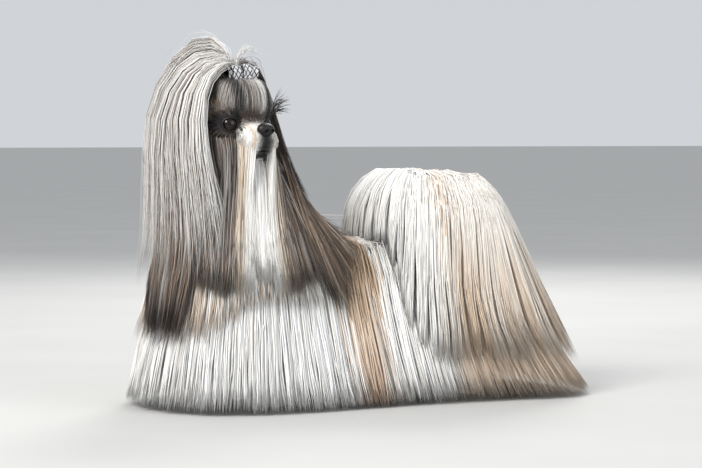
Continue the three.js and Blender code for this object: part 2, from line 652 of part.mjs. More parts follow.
// Tail: carried over the back, its plume rising in a dome that falls over the croup and both flanks
const TAIL_LINE = [
  v3(-132, 0, 205), v3(-154, 4, 240), v3(-148, 8, 266), v3(-122, 12, 280), v3(-94, 14, 276),
];
const tailCurve = new THREE.CatmullRomCurve3(TAIL_LINE);
const PLUME_AT = v3(-122, 0, 0);
// Reach from the upright and height, from the top of the dome down to the tips
const PLUME_SIDE = profile([
  [2, 297], [34, 295], [62, 286], [84, 266], [96, 240],
  [101, 205], [103, 160], [105, 118], [107, 76], [108, 40],
]);
const PLUME_REAR = profile([
  [2, 297], [36, 295], [66, 286], [92, 264], [108, 240],
  [124, 208], [146, 160], [166, 118], [188, 76], [204, 40],
]);
function plumePoint(degrees, down, lift) {
  const heading = Math.atan2(sin(degToRad(degrees)), cos(degToRad(degrees)));
  const rear = smoothstep(-cos(heading), 0.1, 0.85);
  const at = PLUME_SIDE.getPoint(down).multiplyScalar(1 - rear);
  at.addScaledVector(PLUME_REAR.getPoint(down), rear);
  const reach = max(at.x, coatReach(PLUME_AT, heading, at.y) + 11) + lift;
  return v3(PLUME_AT.x + reach * cos(heading), reach * sin(heading), at.y + lift * (1 - down));
}
const plume = [];
const PLUME_LOCKS = 17;
for (let i = 0; i < PLUME_LOCKS; i++) {
  // round the dome from the left of the back, by the croup, to the right of the back
  const share = (i + 0.5) / PLUME_LOCKS;
  const degrees = lerp(22, 338, share);
  const ahead = smoothstep(abs(degrees - 180), 128, 150);
  const right = smoothstep(degrees, 200, 235);
  const tip = lerp(lerp(lerp(0.9, 1, random()), 0.72, right), 0.47, ahead);
  const lift = i % 2 ? -2.4 : 3;
  const root = tailCurve.getPointAt(lerp(0.95, 0.4, sin(PI * share)));
  const run = [root, ...[0.16, 0.34, 0.52, 0.76, 1].map((q) => plumePoint(degrees, q * tip, lift))];
  plume.push((grow) => lock(run, v3(PLUME_AT.x, 0, 150), [3.5, vary(20, 0.08)], 6, grow));
}
place("tail", WHITE, (grow) => [
  tube(TAIL_LINE, (u) => [lerp(12, 7, u), lerp(12, 7, u)], 10, 8, v3(0, 1, 0), grow),
  ...strands(plume)(grow),
]);

dog.position.copy(REST_SHIFT);
export default dog;
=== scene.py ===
# A shih tzu in full show coat, standing with its head turned to its left, at life size.
# Shapes are worked out in millimetres of the dog's own frame: +X the way the body faces, +Y its
# left side, +Z up. mesh_piece() and hair() carry them into the frame of the solids, in metres.
import math
import bpy
import numpy as np
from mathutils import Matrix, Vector


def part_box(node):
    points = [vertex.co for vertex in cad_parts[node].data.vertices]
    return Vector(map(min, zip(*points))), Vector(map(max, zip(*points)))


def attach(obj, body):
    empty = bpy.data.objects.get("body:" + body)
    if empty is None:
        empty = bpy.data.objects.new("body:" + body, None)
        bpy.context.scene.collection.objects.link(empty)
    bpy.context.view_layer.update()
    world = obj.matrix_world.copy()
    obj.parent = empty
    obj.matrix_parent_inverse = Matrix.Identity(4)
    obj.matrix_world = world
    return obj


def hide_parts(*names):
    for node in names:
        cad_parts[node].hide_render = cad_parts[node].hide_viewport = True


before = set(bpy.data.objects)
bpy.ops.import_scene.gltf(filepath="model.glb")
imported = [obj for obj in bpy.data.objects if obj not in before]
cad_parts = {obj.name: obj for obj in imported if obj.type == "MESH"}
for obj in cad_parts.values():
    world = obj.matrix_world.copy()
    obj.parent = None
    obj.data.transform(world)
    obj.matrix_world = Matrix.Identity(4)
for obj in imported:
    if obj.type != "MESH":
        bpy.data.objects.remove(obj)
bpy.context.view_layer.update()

# Body under the coat
# Ribs, loin and croup of a small, long-backed dog, wholly hidden: the coat parts along the spine
# and hangs to the floor on both sides. One skin covers body, neck, legs, tail, ears and head.
MM = 0.001
BACK_Z = 228
BELLY_Z = 106
HEM_Z = 2.5
SKIN_DEPTH = 20
SLOPE_STEP = 0.02
# From breast to rump: x on the spine, heading in degrees, and how far the hem stands out
HEM = [(130, 0, 156), (130, 34, 157), (126, 64, 152), (88, 83, 146), (25, 90, 143),
       (-50, 96, 146), (-105, 112, 165), (-122, 140, 222), (-130, 180, 205)]
# Share of the hem's reach, and height, from the parting down to the hem
FRONT_FALL = [(0.1, 220), (0.42, 205), (0.64, 168), (0.78, 126), (0.88, 82), (0.94, 42), (1, HEM_Z)]
SIDE_FALL = [(0.1, BACK_Z), (0.4, 211), (0.52, 176), (0.62, 132), (0.74, 88), (0.87, 44), (1, HEM_Z)]
REAR_FALL = [(0.08, 222), (0.3, 208), (0.45, 174), (0.58, 130), (0.72, 88), (0.86, 44), (1, HEM_Z)]


def ease(x, low, high):
    t = np.clip((np.asarray(x, float) - low) / (high - low), 0, 1)
    return t * t * (3 - 2 * t)


def mix(a, b, share):
    return a + (b - a) * share


def unit(v):
    return v / np.maximum(np.linalg.norm(v, axis=-1, keepdims=True), 1e-9)


def along(points, u, even=False):
    """Points at shares u of splines through points (..., m, d): centripetal, or even in its knots."""
    points = np.asarray(points, float)
    u = np.asarray(u, float)
    m = points.shape[-2]
    place = np.clip(u, 0, 1) * (m - 1)
    i = np.minimum(place.astype(int), m - 2)
    w = (place - i)[..., None]
    first = 2 * points[..., :1, :] - points[..., 1:2, :]
    last = 2 * points[..., -1:, :] - points[..., -2:-1, :]
    if even:
        first, last = points[..., :1, :], points[..., -1:, :]
    padded = np.concatenate([first, points, last], -2)
    if padded.ndim == 2:
        p0, p1, p2, p3 = (padded[i + k] for k in range(4))
    else:
        rows = np.arange(padded.shape[0])[:, None]
        p0, p1, p2, p3 = (padded[rows, i + k] for k in range(4))
    if even:
        t1, t2 = (p2 - p0) / 2, (p3 - p1) / 2
    else:
        d0, d1, d2 = (np.maximum(np.linalg.norm(b - a, axis=-1, keepdims=True), 1e-6) ** 0.5
                      for a, b in ((p0, p1), (p1, p2), (p2, p3)))
        t1 = ((p1 - p0) / d0 - (p2 - p0) / (d0 + d1) + (p2 - p1) / d1) * d1
        t2 = ((p2 - p1) / d1 - (p3 - p1) / (d1 + d2) + (p3 - p2) / d2) * d1
    curve = p1 + t1 * w + (-3 * p1 + 3 * p2 - 2 * t1 - t2) * w**2
    return curve + (2 * p1 - 2 * p2 + t1 + t2) * w**3


def coat_point(turn, down, lift=0.0):
    """A point of the coat: way round from breast (0) to rump (1, or -1 on the right), and down."""
    turn, down, lift = np.broadcast_arrays(*(np.asarray(v, float) for v in (turn, down, lift)))
    hem = along(HEM, np.abs(turn))
    heading = np.radians(hem[..., 1]) * np.where(turn < 0, -1, 1)
    front = ease(np.cos(heading), 0, 0.9)
    rear = ease(-np.cos(heading), 0, 0.9)

    def weigh(q):
        q = np.clip(q, 0, 1)
        falls = ((SIDE_FALL, 1 - front - rear), (FRONT_FALL, front), (REAR_FALL, rear))
        return sum(along(fall, q, True) * share[..., None] for fall, share in falls)

    here = weigh(down)
    step = weigh(down + SLOPE_STEP) - weigh(down - SLOPE_STEP)
    slope = unit(np.stack([step[..., 0] * hem[..., 2], step[..., 1]], -1))
    reach = np.maximum(0, here[..., 0] * hem[..., 2] - slope[..., 1] * lift)
    return np.stack([hem[..., 0] + reach * np.cos(heading), reach * np.sin(heading),
                     here[..., 1] + slope[..., 0] * lift], -1)


# Head frame: forward along the face, the dog's right, and up
HEAD_AT = np.array([165.0, 0, 365])
HEAD_TURN = math.radians(105)
FACE = np.array([math.cos(HEAD_TURN), math.sin(HEAD_TURN), 0])
RIGHT = np.array([FACE[1], -FACE[0], 0])
UP = np.array([0, 0, 1.0])
HEAD_WAYS = np.stack([FACE, RIGHT, UP])


def on_head(p):
    return HEAD_AT + np.asarray(p, float) @ HEAD_WAYS


def grid_faces(rows, columns, closed=True):
    """Quads of a grid of rows by columns, its columns closed into a ring."""
    faces = []
    for i in range(rows - 1):
        for j in range(columns if closed else columns - 1):
            k = (j + 1) % columns
            faces.append((i * columns + j, i * columns + k, (i + 1) * columns + k, (i + 1) * columns + j))
    return faces


def tube(line, sizes, sides, steps):
    """Points and faces of a closed tube along a line, half its width and depth by sizes(u)."""
    u = np.linspace(0, 1, steps + 1)
    path = along(line, u)
    way = unit(np.gradient(path, axis=0))
    across = unit(np.cross(way, [0, 0, 1.0]) + 1e-4)
    out = np.cross(across, way)
    wide, deep = sizes(u)
    turn = np.linspace(0, 2 * math.pi, sides, endpoint=False)
    ring = path[:, None] + np.cos(turn)[None, :, None] * across[:, None] * np.reshape(wide, (-1, 1, 1))
    ring = ring + np.sin(turn)[None, :, None] * out[:, None] * np.reshape(deep, (-1, 1, 1))
    faces = grid_faces(steps + 1, sides)
    faces.append(tuple(range(sides)))
    faces.append(tuple(steps * sides + k for k in reversed(range(sides))))
    return ring.reshape(-1, 3), faces


# The dog's own frame stands where the solids' right eye does
EYE_SET = np.array([37.0, 28, -15])
EYE_R = 11.2
low, high = (np.array(c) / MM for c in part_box("eye_right"))
SHIFT = (low + high) / 2 - on_head(EYE_SET)
SHIFT[2] = 0


def mesh_piece(name, points, faces):
    mesh = bpy.data.meshes.new(name)
    mesh.from_pydata(((np.asarray(points) + SHIFT) * MM).tolist(), [], faces)
    mesh.validate()
    mesh.shade_smooth()
    piece = bpy.data.objects.new(name, mesh)
    bpy.context.scene.collection.objects.link(piece)
    return piece


def fan(tip, start, around, turned=False):
    """Triangles from a tip to the ring of points that begins at start, or turned to face back."""
    ring = [(start + k, start + (k + 1) % around) for k in range(around)]
    return [(tip, b, a) if turned else (tip, a, b) for a, b in ring]


def ball(middle, radii, around, rings):
    turn = np.linspace(0, 2 * math.pi, around, endpoint=False)
    fall = np.linspace(0.0, math.pi, rings + 1)[1:-1]
    body = np.stack([np.outer(np.sin(fall), np.cos(turn)), np.outer(np.sin(fall), np.sin(turn)),
                     np.outer(np.cos(fall), np.ones(around))], -1).reshape(-1, 3)
    points = np.concatenate([[[0, 0, 1.0]], body, [[0, 0, -1.0]]]) * radii + middle
    faces = fan(0, 1, around)
    faces += [tuple(1 + c for c in reversed(f)) for f in grid_faces(rings - 1, around)]
    return points, faces + fan(len(points) - 1, 1 + (rings - 2) * around, around, True)


def joined(parts):
    points, faces, start = [], [], 0
    for some, rows in parts:
        points.append(np.asarray(some))
        faces += [tuple(start + c for c in row) for row in rows]
        start += len(some)
    return np.concatenate(points), faces


def body_form():
    AROUND, RINGS = 96, 30
    PARTING, FLANK = 0.02, 0.56
    turn = np.linspace(-1, 1, AROUND, endpoint=False)
    down = np.linspace(PARTING, FLANK, RINGS)
    rings = coat_point(turn[None, :], down[:, None], -SKIN_DEPTH)
    belly = rings[-1].copy()
    belly[:, 2] = BELLY_Z + 4
    inner = belly * [0.85, 0.4, 1] + [0, 0, -3]
    points = np.concatenate([[[20, 0, BACK_Z - SKIN_DEPTH]], rings.reshape(-1, 3), belly, inner,
                             [[0, 0, BELLY_Z]]])
    faces = fan(0, 1, AROUND, True)
    faces += [tuple(1 + c for c in f) for f in grid_faces(RINGS + 2, AROUND)]
    return points, faces + fan(len(points) - 1, 1 + (RINGS + 1) * AROUND, AROUND)


NECK_LINE = [(120, 0, 190), (134, 0, 235), (154, -1, 295), (163, -2, 345)]
TAIL_LINE = np.array([(-132, 0, 205), (-154, 4, 240), (-148, 8, 266), (-122, 12, 280), (-94, 14, 276)])
LEGS = {"front": [(112, 46, BELLY_Z + 22), (110, 48, 62), (112, 48, 14)],
        "hind": [(-128, 46, BELLY_Z + 22), (-176, 50, 62), (-168, 50, 14)]}
PAW = np.array([25.0, 17, 24])


def paw_form(foot, side):
    points, faces = ball(np.zeros(3), np.ones(3), 28, 16)
    ahead = np.maximum(0, points[:, 0])
    toes = 1 - 0.1 * ahead * np.abs(np.sin(4.2 * np.arctan2(points[:, 1], points[:, 0])))
    points[:, 2] = np.maximum((points[:, 2] * 0.75 + 0.45) * PAW[2], 0.3)
    points[:, 0] = foot[0] + 8 + points[:, 0] * toes * PAW[0]
    points[:, 1] = foot[1] * side + points[:, 1] * PAW[1]
    return points, faces


parts = [body_form(), tube(NECK_LINE, lambda u: (mix(50, 40, u), mix(50, 40, u)), 40, 16),
         tube(TAIL_LINE, lambda u: (mix(12, 6, u), mix(12, 6, u)), 20, 24)]
for line in LEGS.values():
    for side in (1, -1):
        run = [(x, y * side, z) for x, y, z in line]
        parts.append(tube(run, lambda u: (mix(17, 11, u), mix(20, 12, u)), 24, 16))
        parts.append(paw_form(line[-1], side))
skin = mesh_piece("skin", *joined(parts))
weld = skin.modifiers.new("one skin", "REMESH")
weld.mode = "VOXEL"
weld.voxel_size = 3.5 * MM
soften = skin.modifiers.new("soften", "SMOOTH")
soften.iterations = 3
bpy.context.view_layer.objects.active = skin
for modifier in ("one skin", "soften"):
    bpy.ops.object.modifier_apply(modifier=modifier)

# Head
# A short, broad skull with a deep stop, big round eyes set well forward, a square muzzle no longer
# than the nose leather and lips that meet in a low curve. It is one form, swollen from soft lumps.
# Each lump: its middle, then its half sizes, both as forward, right and up
HEAD_LUMPS = [(0, 0, 0, 53, 48, 45), (24, 0, 12, 32, 40, 32), (16, 27, -20, 30, 23, 26),
              (16, -27, -20, 30, 23, 26), (48, 0, -31, 27, 25, 19), (60, 12, -36, 15, 14, 14),
              (60, -12, -36, 15, 14, 14), (50, 0, -52, 16, 15, 11), (36, 25, 4, 13, 15, 10),
              (36, -25, 4, 13, 15, 10)]
HEAD_MIDDLE = np.array([20.0, 0, -12])
MOUTH_MIDDLE = np.array([44.0, 0, -47])
NOSE_AT = np.array([73.0, 0, -22])
SOFT = 9
LIDS_WIDE = 9.6
LIDS_HIGH = 7.6
# Each row of a lid: its share of the opening, and how far it stands off the ball
LID_ROWS = [(0.97, -0.6), (1.0, 0.5), (1.04, 1.3), (1.12, 1.75), (1.22, 1.7), (1.32, 1.2), (1.42, 1.9),
            (1.56, 1.8), (1.75, -1.5)]


def head_distance(p):
    total = np.full(p.shape[:-1], 1e3)
    for lump in HEAD_LUMPS:
        away = (p - lump[:3]) / lump[3:]
        near = np.linalg.norm(away, axis=-1)
        steep = np.linalg.norm(away / lump[3:], axis=-1) + 1e-9
        d = near * (near - 1) / steep
        h = np.maximum(SOFT - np.abs(total - d), 0) / SOFT
        total = np.minimum(total, d) - h * h * SOFT / 4
    return total


def on_skin(start, way, lift=0.0):
    """The point of the head's surface seen from an inner point along a way, in the head frame."""
    FAR_OUT, STEPS_IN, CAUTION = 120.0, 34, 0.75
    reach = np.full(way.shape[:-1], FAR_OUT)
    for _ in range(STEPS_IN):
        reach = reach - CAUTION * head_distance(start + way * reach[..., None])
    return start + way * (reach + lift)[..., None]


def toward(p, lift=0.0):
    return on_skin(HEAD_MIDDLE, unit(np.asarray(p, float) - HEAD_MIDDLE), lift)


def eye_sight(side):
    gaze = unit(np.array([0.93, side * 0.37, 0.0]))
    across = np.array([-gaze[1], gaze[0], 0.0])
    return EYE_SET * [1, side, 1], gaze, across


def opening_share(away, across):
    """How far a place lies out from the middle of the eye's opening: 1 is its rim."""
    return np.hypot(away @ across / LIDS_WIDE, away[..., 2] / LIDS_HIGH)


def eye_share(p, side):
    """The same for points of the head, of which those behind the eye count as far off."""
    FAR_OFF = 9.0
    eye, gaze, across = eye_sight(side)
    away = p - eye
    return np.where(away @ gaze > 0, opening_share(away, across), FAR_OFF)


def head_form():
    AROUND, RINGS = 190, 150
    turn = np.linspace(0, 2 * math.pi, AROUND, endpoint=False)
    fall = np.linspace(0, math.pi, RINGS + 1)[1:-1]
    way = np.stack([np.outer(np.cos(fall), np.ones(AROUND)), np.outer(np.sin(fall), np.cos(turn)),
                    np.outer(np.sin(fall), np.sin(turn))], -1).reshape(-1, 3)
    way = np.concatenate([[[1.0, 0, 0]], way, [[-1.0, 0, 0]]])
    p = on_skin(HEAD_MIDDLE, way)
    for side in (1, -1):
        eye = eye_sight(side)[0]
        out = unit(p - eye)
        held = np.linalg.norm(p - eye, axis=-1)
        sunk = mix(EYE_R - 3, held, ease(eye_share(p, side), 1.0, 1.55))
        p = eye + out * np.where(eye_share(p, side) < 1.6, np.minimum(held, sunk), held)[..., None]
    # the line of the mouth, and the groove from the nose down to it
    level = p[:, 2] - (MOUTH_MIDDLE[2] - np.abs(p[:, 1]) * 0.12)
    front = ease(p[:, 0], 46, 56)
    p = p - unit(p - MOUTH_MIDDLE) * (2.6 * np.exp(-(level / 1.2) ** 2) * front)[:, None]
    groove = np.exp(-(p[:, 1] / 1.0) ** 2) * ease(-p[:, 2], 28, 32) * ease(p[:, 2], -50, -46) * front
    p = p - unit(p - MOUTH_MIDDLE) * (1.6 * groove)[:, None]
    faces = fan(0, 1, AROUND)
    faces += [tuple(1 + c for c in f) for f in grid_faces(RINGS - 1, AROUND)]
    return on_head(p), faces + fan(len(p) - 1, 1 + (RINGS - 2) * AROUND, AROUND, True)


def lid_form(side):
    """Both lids of an eye: a rim that lies on the ball, a rounded edge, a fold, then the brow."""
    AROUND = 56
    eye, gaze, across = eye_sight(side)
    turn = np.linspace(0, 2 * math.pi, AROUND, endpoint=False)
    rows = []
    for share, stand in LID_ROWS:
        flat = np.cos(turn)[:, None] * across * LIDS_WIDE * share
        flat = flat + np.sin(turn)[:, None] * UP * LIDS_HIGH * share
        depth = np.sqrt(np.maximum((EYE_R + stand) ** 2 - (flat**2).sum(-1), 4.0))
        rows.append(eye + flat + gaze * depth[:, None])
    return on_head(np.concatenate(rows)), grid_faces(len(rows), AROUND)


def lip_form(up, size):
    turn = np.radians(np.linspace(-64, 64, 15))
    way = np.stack([np.cos(turn), np.sin(turn), 0 * turn], -1)
    start = MOUTH_MIDDLE + np.stack([0 * turn, 0 * turn, up - np.abs(np.degrees(turn)) * 0.03], -1)
    line = np.array([on_skin(s, w, -0.6) for s, w in zip(start, way)])

    def plump(u):
        return size * (1.02 - abs(2 * u - 1) ** 3)

    return tube(on_head(line), lambda u: (plump(u), plump(u)), 12, 40)


def ear_form(side):
    """A hanging ear leather, thin at its rim and cupped towards the skull."""
    points, faces = ball(np.zeros(3), np.ones(3), 40, 24)
    wide, thick, length = points[:, 0], points[:, 1], points[:, 2]
    cup = 7 * (1 - wide**2) * (1 - 0.6 * length**2)
    at = np.stack([-8 + wide * 18.5, side * (57 + cup + thick * 2 - 7 * length), -12 + length * 33.5], -1)
    return on_head(at), faces


head = mesh_piece("head_skin", *joined([head_form()] + [lid_form(s) for s in (1, -1)]
                                       + [lip_form(2.3, 2.2), lip_form(-2.5, 2.1)]
                                       + [ear_form(s) for s in (1, -1)]))
bpy.ops.object.select_all(action="DESELECT")
head.select_set(True)
skin.select_set(True)
bpy.context.view_layer.objects.active = skin
bpy.ops.object.join()
skin.data.shade_smooth()


# Markings, the same on skin and coat: white front, legs and plume, a gold saddle and rump, a smoke
# and silver head with a white blaze, black round the eyes, and black nose and lips.
def shade(red, green, blue):
    """A colour read off the screen, as light."""
    c = np.array([red, green, blue]) / 255
    return np.where(c < 0.04045, c / 12.92, ((c + 0.055) / 1.055) ** 2.4)


WHITE = shade(246, 244, 240)
CREAM = shade(226, 216, 200)
GOLD = shade(202, 170, 134)
RUST = shade(166, 122, 90)
APRICOT = shade(226, 203, 178)
SILVER = shade(186, 182, 178)
TAUPE = shade(128, 110, 97)
SMOKE = shade(78, 68, 63)
BLACK = shade(26, 24, 25)


def paint(base, colour, share):
    return base + (colour - base) * np.clip(np.asarray(share, float), 0, 1)[..., None]


def ripple(x, seed, octaves=3):
    """Smooth noise of one number, from -1 to 1."""
    total = 0
    for k in range(octaves):
        total = total + np.sin(x * 1.9**k + seed * (1.7 + k)) * 0.6**k
    return total / 1.6


def body_markings(p):
    """Colour of the body's coat at points of the dog's own frame."""
    x, y, z = p[..., 0], p[..., 1], p[..., 2]
    wave = 6 * ripple(z / 22 + np.abs(y) / 35, 3)
    saddle = ease(x + wave, -12, 6) * ease(-x + wave, -52, -34) * (1 - 0.35 * ease(y, 60, 130))
    tone = paint(WHITE, GOLD, 0.95 * saddle)
    tone = paint(tone, RUST, 0.75 * saddle * ease(-z, -90, -20))
    rump = ease(-x + wave, 78, 118)
    tone = paint(tone, APRICOT, 0.75 * rump)
    return paint(tone, GOLD, 0.2 * rump * ease(ripple(x / 9 + y / 13, 5), 0.1, 0.7))


def head_markings(p):
    """Colour of the face at points of the head frame, with painted shade in the black at the temples."""
    f, r, u = p[..., 0], p[..., 1], p[..., 2]
    side = np.abs(r)
    tone = paint(TAUPE, SILVER, 0.75 * ease(u, -8, 14))
    tone = paint(tone, SMOKE, 0.8 * ease(ripple(r / 2.6, 2), 0.1, 0.8) * ease(u, -10, 5))
    stop = ease(-side, -24, -14) * ease(-u, -10, 0) * ease(f, 36, 44)
    tone = paint(tone, SMOKE, 0.75 * stop)
    streak = np.exp(-(((side - 23) / 6.5) ** 2)) * ease(u, -14, -2)
    tone = paint(tone, BLACK, 0.92 * streak)
    tone = paint(tone, WHITE, 0.9 * np.exp(-((r + 11) / 6.0) ** 2) * ease(u, -6, 4))
    muzzle = ease(f, 40, 50) * ease(-u, 10, 17) * ease(-side, -30, -22)
    tone = paint(tone, WHITE, muzzle)
    tear = np.exp(-(((side - 15.5 - 0.16 * (-u - 22)) / 2.0) ** 2)) * ease(-u, 10, 16) * ease(f, 38, 48)
    tone = paint(tone, GOLD, 0.6 * tear)
    for s in (1, -1):
        around = np.linalg.norm((p - eye_sight(s)[0]) / [1, 1, 0.85], axis=-1)
        tone = paint(tone, BLACK, ease(-around, -20, -15))
        corner = np.hypot((u + 17) / 5.5, np.maximum(0, 30 - s * r) / 9)
        tone = paint(tone, BLACK, 0.8 * ease(-corner, -1.6, -0.9) * ease(s * r, 26, 34) * ease(f, -10, 10))
    # the temples: gold low down and black higher up; the black is partly black hair and partly painted shade
    # in the gap between the swept-up hair and the forehead
    temple = ease(side, 17, 24) * ease(side - f, 4, 12) * ease(u, 4, 10)
    tone = paint(tone, GOLD, 0.6 * temple)
    tone = paint(tone, BLACK, 0.95 * temple * ease(u, 9, 15))
    chops = np.exp(-((r / 12) ** 4)) * ease(f, 50, 56) * ease(-u, 20, 24) * ease(u, -60, -55)
    return paint(tone, 0.3 * BLACK, chops)


def tint(piece, colours):
    """Writes one colour for each vertex of a piece."""
    layer = piece.data.color_attributes.new("Markings", "FLOAT_COLOR", "POINT")
    rows = np.concatenate([colours, np.ones((len(colours), 1))], 1)
    layer.data.foreach_set("color", rows.ravel().astype(np.float32))


def spot(piece):
    flat = np.empty(len(piece.data.vertices) * 3)
    piece.data.vertices.foreach_get("co", flat)
    return flat.reshape(-1, 3) / MM - SHIFT


def in_head(p):
    """Points of the dog's own frame, told in the head frame."""
    return (p - HEAD_AT) @ HEAD_WAYS.T


def new_material(name, settings):
    """A material whose shader has these settings, with the parts to build it on."""
    material = bpy.data.materials.new(name)
    material.use_nodes = True
    nodes, links = material.node_tree.nodes, material.node_tree.links
    shader = nodes["Principled BSDF"]
    for socket, value in settings.items():
        shader.inputs[socket].default_value = value
    return material, nodes, links, shader


def marked_material(name, settings):
    """The same, with the colour of the markings at hand."""
    material, nodes, links, shader = new_material(name, settings)
    markings = nodes.new("ShaderNodeVertexColor")
    markings.layer_name = "Markings"
    return material, nodes, links, shader, markings.outputs["Color"]


def new_node(nodes, kind, settings):
    node = nodes.new(kind)
    for socket, value in settings.items():
        node.inputs[socket].default_value = value
    return node


def colour_by(nodes, links, shader, colour, light):
    """Gives a shader its colour, made lighter and darker by light."""
    toned = nodes.new("ShaderNodeVectorMath")
    toned.operation = "SCALE"
    links.new(colour, toned.inputs[0])
    links.new(light, toned.inputs["Scale"])
    links.new(toned.outputs["Vector"], shader.inputs["Base Color"])


def raise_by(nodes, links, shader, height, strength, distance, sunk=False):
    """Gives a shader its relief, raised or sunk by height, over a distance in millimetres."""
    bump = new_node(nodes, "ShaderNodeBump", {"Strength": strength, "Distance": distance * MM})
    bump.invert = sunk
    links.new(height, bump.inputs["Height"])
    links.new(bump.outputs["Normal"], shader.inputs["Normal"])


skin_stuff, nodes, links, shader, markings = marked_material("skin", {"Roughness": 0.6})
where = nodes.new("ShaderNodeTexCoord")
grain = new_node(nodes, "ShaderNodeTexNoise", {"Scale": 900, "Detail": 3})
links.new(where.outputs["Object"], grain.inputs["Vector"])
light = new_node(nodes, "ShaderNodeMapRange", {"To Min": 0.88, "To Max": 1.12})
links.new(grain.outputs["Fac"], light.inputs["Value"])
colour_by(nodes, links, shader, markings, light.outputs["Result"])
raise_by(nodes, links, shader, grain.outputs["Fac"], 0.5, 0.6)

place = spot(skin)
head_place = in_head(place)
on_the_head = ease(-np.linalg.norm(head_place - HEAD_MIDDLE, axis=-1), -92, -70)
tint(skin, paint(body_markings(place), head_markings(head_place), on_the_head))
skin.data.materials.append(skin_stuff)
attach(skin, "root")
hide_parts("leg_front_left", "leg_front_right", "leg_hind_left", "leg_hind_right", "torso",
            "chest", "rump", "neck", "head", "tail")

# Eyes
# Large, round, dark brown eyes. Each is one ball: a white that hardly shows, an iris with fine
# spokes and a darker rim, a black pupil, and a wet, clear cornea that stands a little proud.
IRIS_R = 9.6
PUPIL_SHARE = 0.43


def colour_scale(nodes, stops):
    """Colours by value: each stop is a place from 0 to 1 and its colour."""
    scale = nodes.new("ShaderNodeValToRGB")
    elements = scale.color_ramp.elements
    for number, (position, colour) in enumerate(stops):
        stop = elements[number] if number < 2 else elements.new(position)
        stop.position = position
        stop.color = (*colour, 1)
    return scale


wet_eye, nodes, links, shader = new_material("wet eye", {
    "Roughness": 0.05, "Specular IOR Level": 0.15, "Coat Weight": 0.5, "Coat Roughness": 0.03})
off_axis = nodes.new("ShaderNodeAttribute")
off_axis.attribute_name = "off_axis"
spokes = nodes.new("ShaderNodeAttribute")
spokes.attribute_name = "spokes"
# From the pupil over the iris to the white
rings = colour_scale(nodes, [
    (PUPIL_SHARE - 0.07, (0.002, 0.002, 0.003)), (PUPIL_SHARE, (0.009, 0.004, 0.002)),
    (0.66, (0.010, 0.004, 0.002)), (0.80, (0.005, 0.003, 0.002)),
    (0.88, (0.004, 0.003, 0.003)), (0.97, (0.010, 0.008, 0.008))])
links.new(off_axis.outputs["Fac"], rings.inputs["Fac"])
colour_by(nodes, links, shader, rings.outputs["Color"], spokes.outputs["Fac"])


def eye_ball(side):
    points, faces = ball(np.zeros(3), np.ones(3), 96, 64)
    eye, gaze, across = eye_sight(side)
    ahead = points[:, 2].copy()
    lifted = points[:, :1] * across + points[:, 1:2] * UP + points[:, 2:] * gaze
    bulge = 1 + 0.035 * ease(ahead, 0.55, 0.85)
    piece = mesh_piece(f"eye_{'right' if side > 0 else 'left'}_ball",
                       on_head(eye + lifted * EYE_R * bulge[:, None]), faces)
    turn = np.arctan2(points[:, 1], points[:, 0])
    share = np.clip(np.hypot(points[:, 0], points[:, 1]) * EYE_R / IRIS_R, 0, 1)
    share = np.where(ahead > 0, share, 1.0)
    streaks = 1 + 0.35 * ripple(turn * 17, 4) * (share > PUPIL_SHARE)
    for name, value in (("off_axis", share), ("spokes", streaks)):
        layer = piece.data.attributes.new(name, "FLOAT", "POINT")
        layer.data.foreach_set("value", value.astype(np.float32))
    piece.data.materials.append(wet_eye)
    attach(piece, "root")
    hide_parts(f"eye_{'right' if side > 0 else 'left'}")


for side in (1, -1):
    eye_ball(side)

# Nose
# A broad black nose leather, finely pebbled and damp, with two comma-shaped nostrils that open
# to the side and a groove that runs down its middle to the lip.
NOSE_PAD = np.array([12.5, 7.2, 8.4])
NOSTRIL = np.array([6.5, 5.2, -1.5])


def nose_form():
    points, faces = ball(np.zeros(3), np.ones(3), 96, 64)
    f, r, u = points[:, 2], points[:, 0], points[:, 1]
    wide = np.sign(r) * np.abs(r) ** 0.82
    narrowed = 1 - 0.22 * ease(-u, 0, 1)
    shape = np.stack([f * NOSE_PAD[1], wide * NOSE_PAD[0] * narrowed, u * NOSE_PAD[2]], -1)
    groove = 1.2 * np.exp(-((r / 0.1) ** 2)) * ease(f, 0.1, 0.6) * ease(-u, -0.3, 0.4)
    shape[:, 0] += 1.5 * ease(f, 0, 1) - groove
    for side in (1, -1):
        away = (shape - NOSTRIL * [1, side, 1]) / [9, 2.9, 1.7]
        comma = np.hypot(away[:, 1], away[:, 2] + 0.5 * away[:, 1] * side)
        shape[:, 0] -= 3.6 * ease(-comma, -1.25, -0.6) * (f > 0)
        wing = np.exp(-((comma - 1.5) / 0.35) ** 2) * (f > 0.1)
        shape[:, 0] += 0.5 * wing
    return on_head(shape + NOSE_AT + [1.0, 0, 0.5]), faces


damp_leather, nodes, links, shader = new_material("damp nose leather", {
    "Roughness": 0.45, "Specular IOR Level": 0.3, "Coat Weight": 0.15, "Coat Roughness": 0.25})
where = nodes.new("ShaderNodeTexCoord")
pebbles = new_node(nodes, "ShaderNodeTexVoronoi", {"Scale": 1400})
links.new(where.outputs["Object"], pebbles.inputs["Vector"])
blacks = colour_scale(nodes, [(0, (0.016, 0.014, 0.015)), (1, (0.004, 0.004, 0.005))])
links.new(pebbles.outputs["Distance"], blacks.inputs["Fac"])
links.new(blacks.outputs["Color"], shader.inputs["Base Color"])
raise_by(nodes, links, shader, pebbles.outputs["Distance"], 0.5, 0.3, sunk=True)
nose = mesh_piece("nose_leather_pad", *nose_form())
nose.data.materials.append(damp_leather)
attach(nose, "root")
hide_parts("nose")

# Bow
# A black elastic wound round the foot of the topknot, and a small bow of three ribbon loops in
# front of it: white woven ribbon with a fine black lattice, black where each loop turns.
KNOT_AT = np.array([24.0, 0, 49])
KNOT_R = 8.5
LOOP_WIDE = 12.8
LOOP_APART = 13.4
LOOP_LONG = 10.8
LOOP_DEEP = 5.2
# Lengths of the ribbon's pattern that go round one loop
PATTERN_ROUND = 6


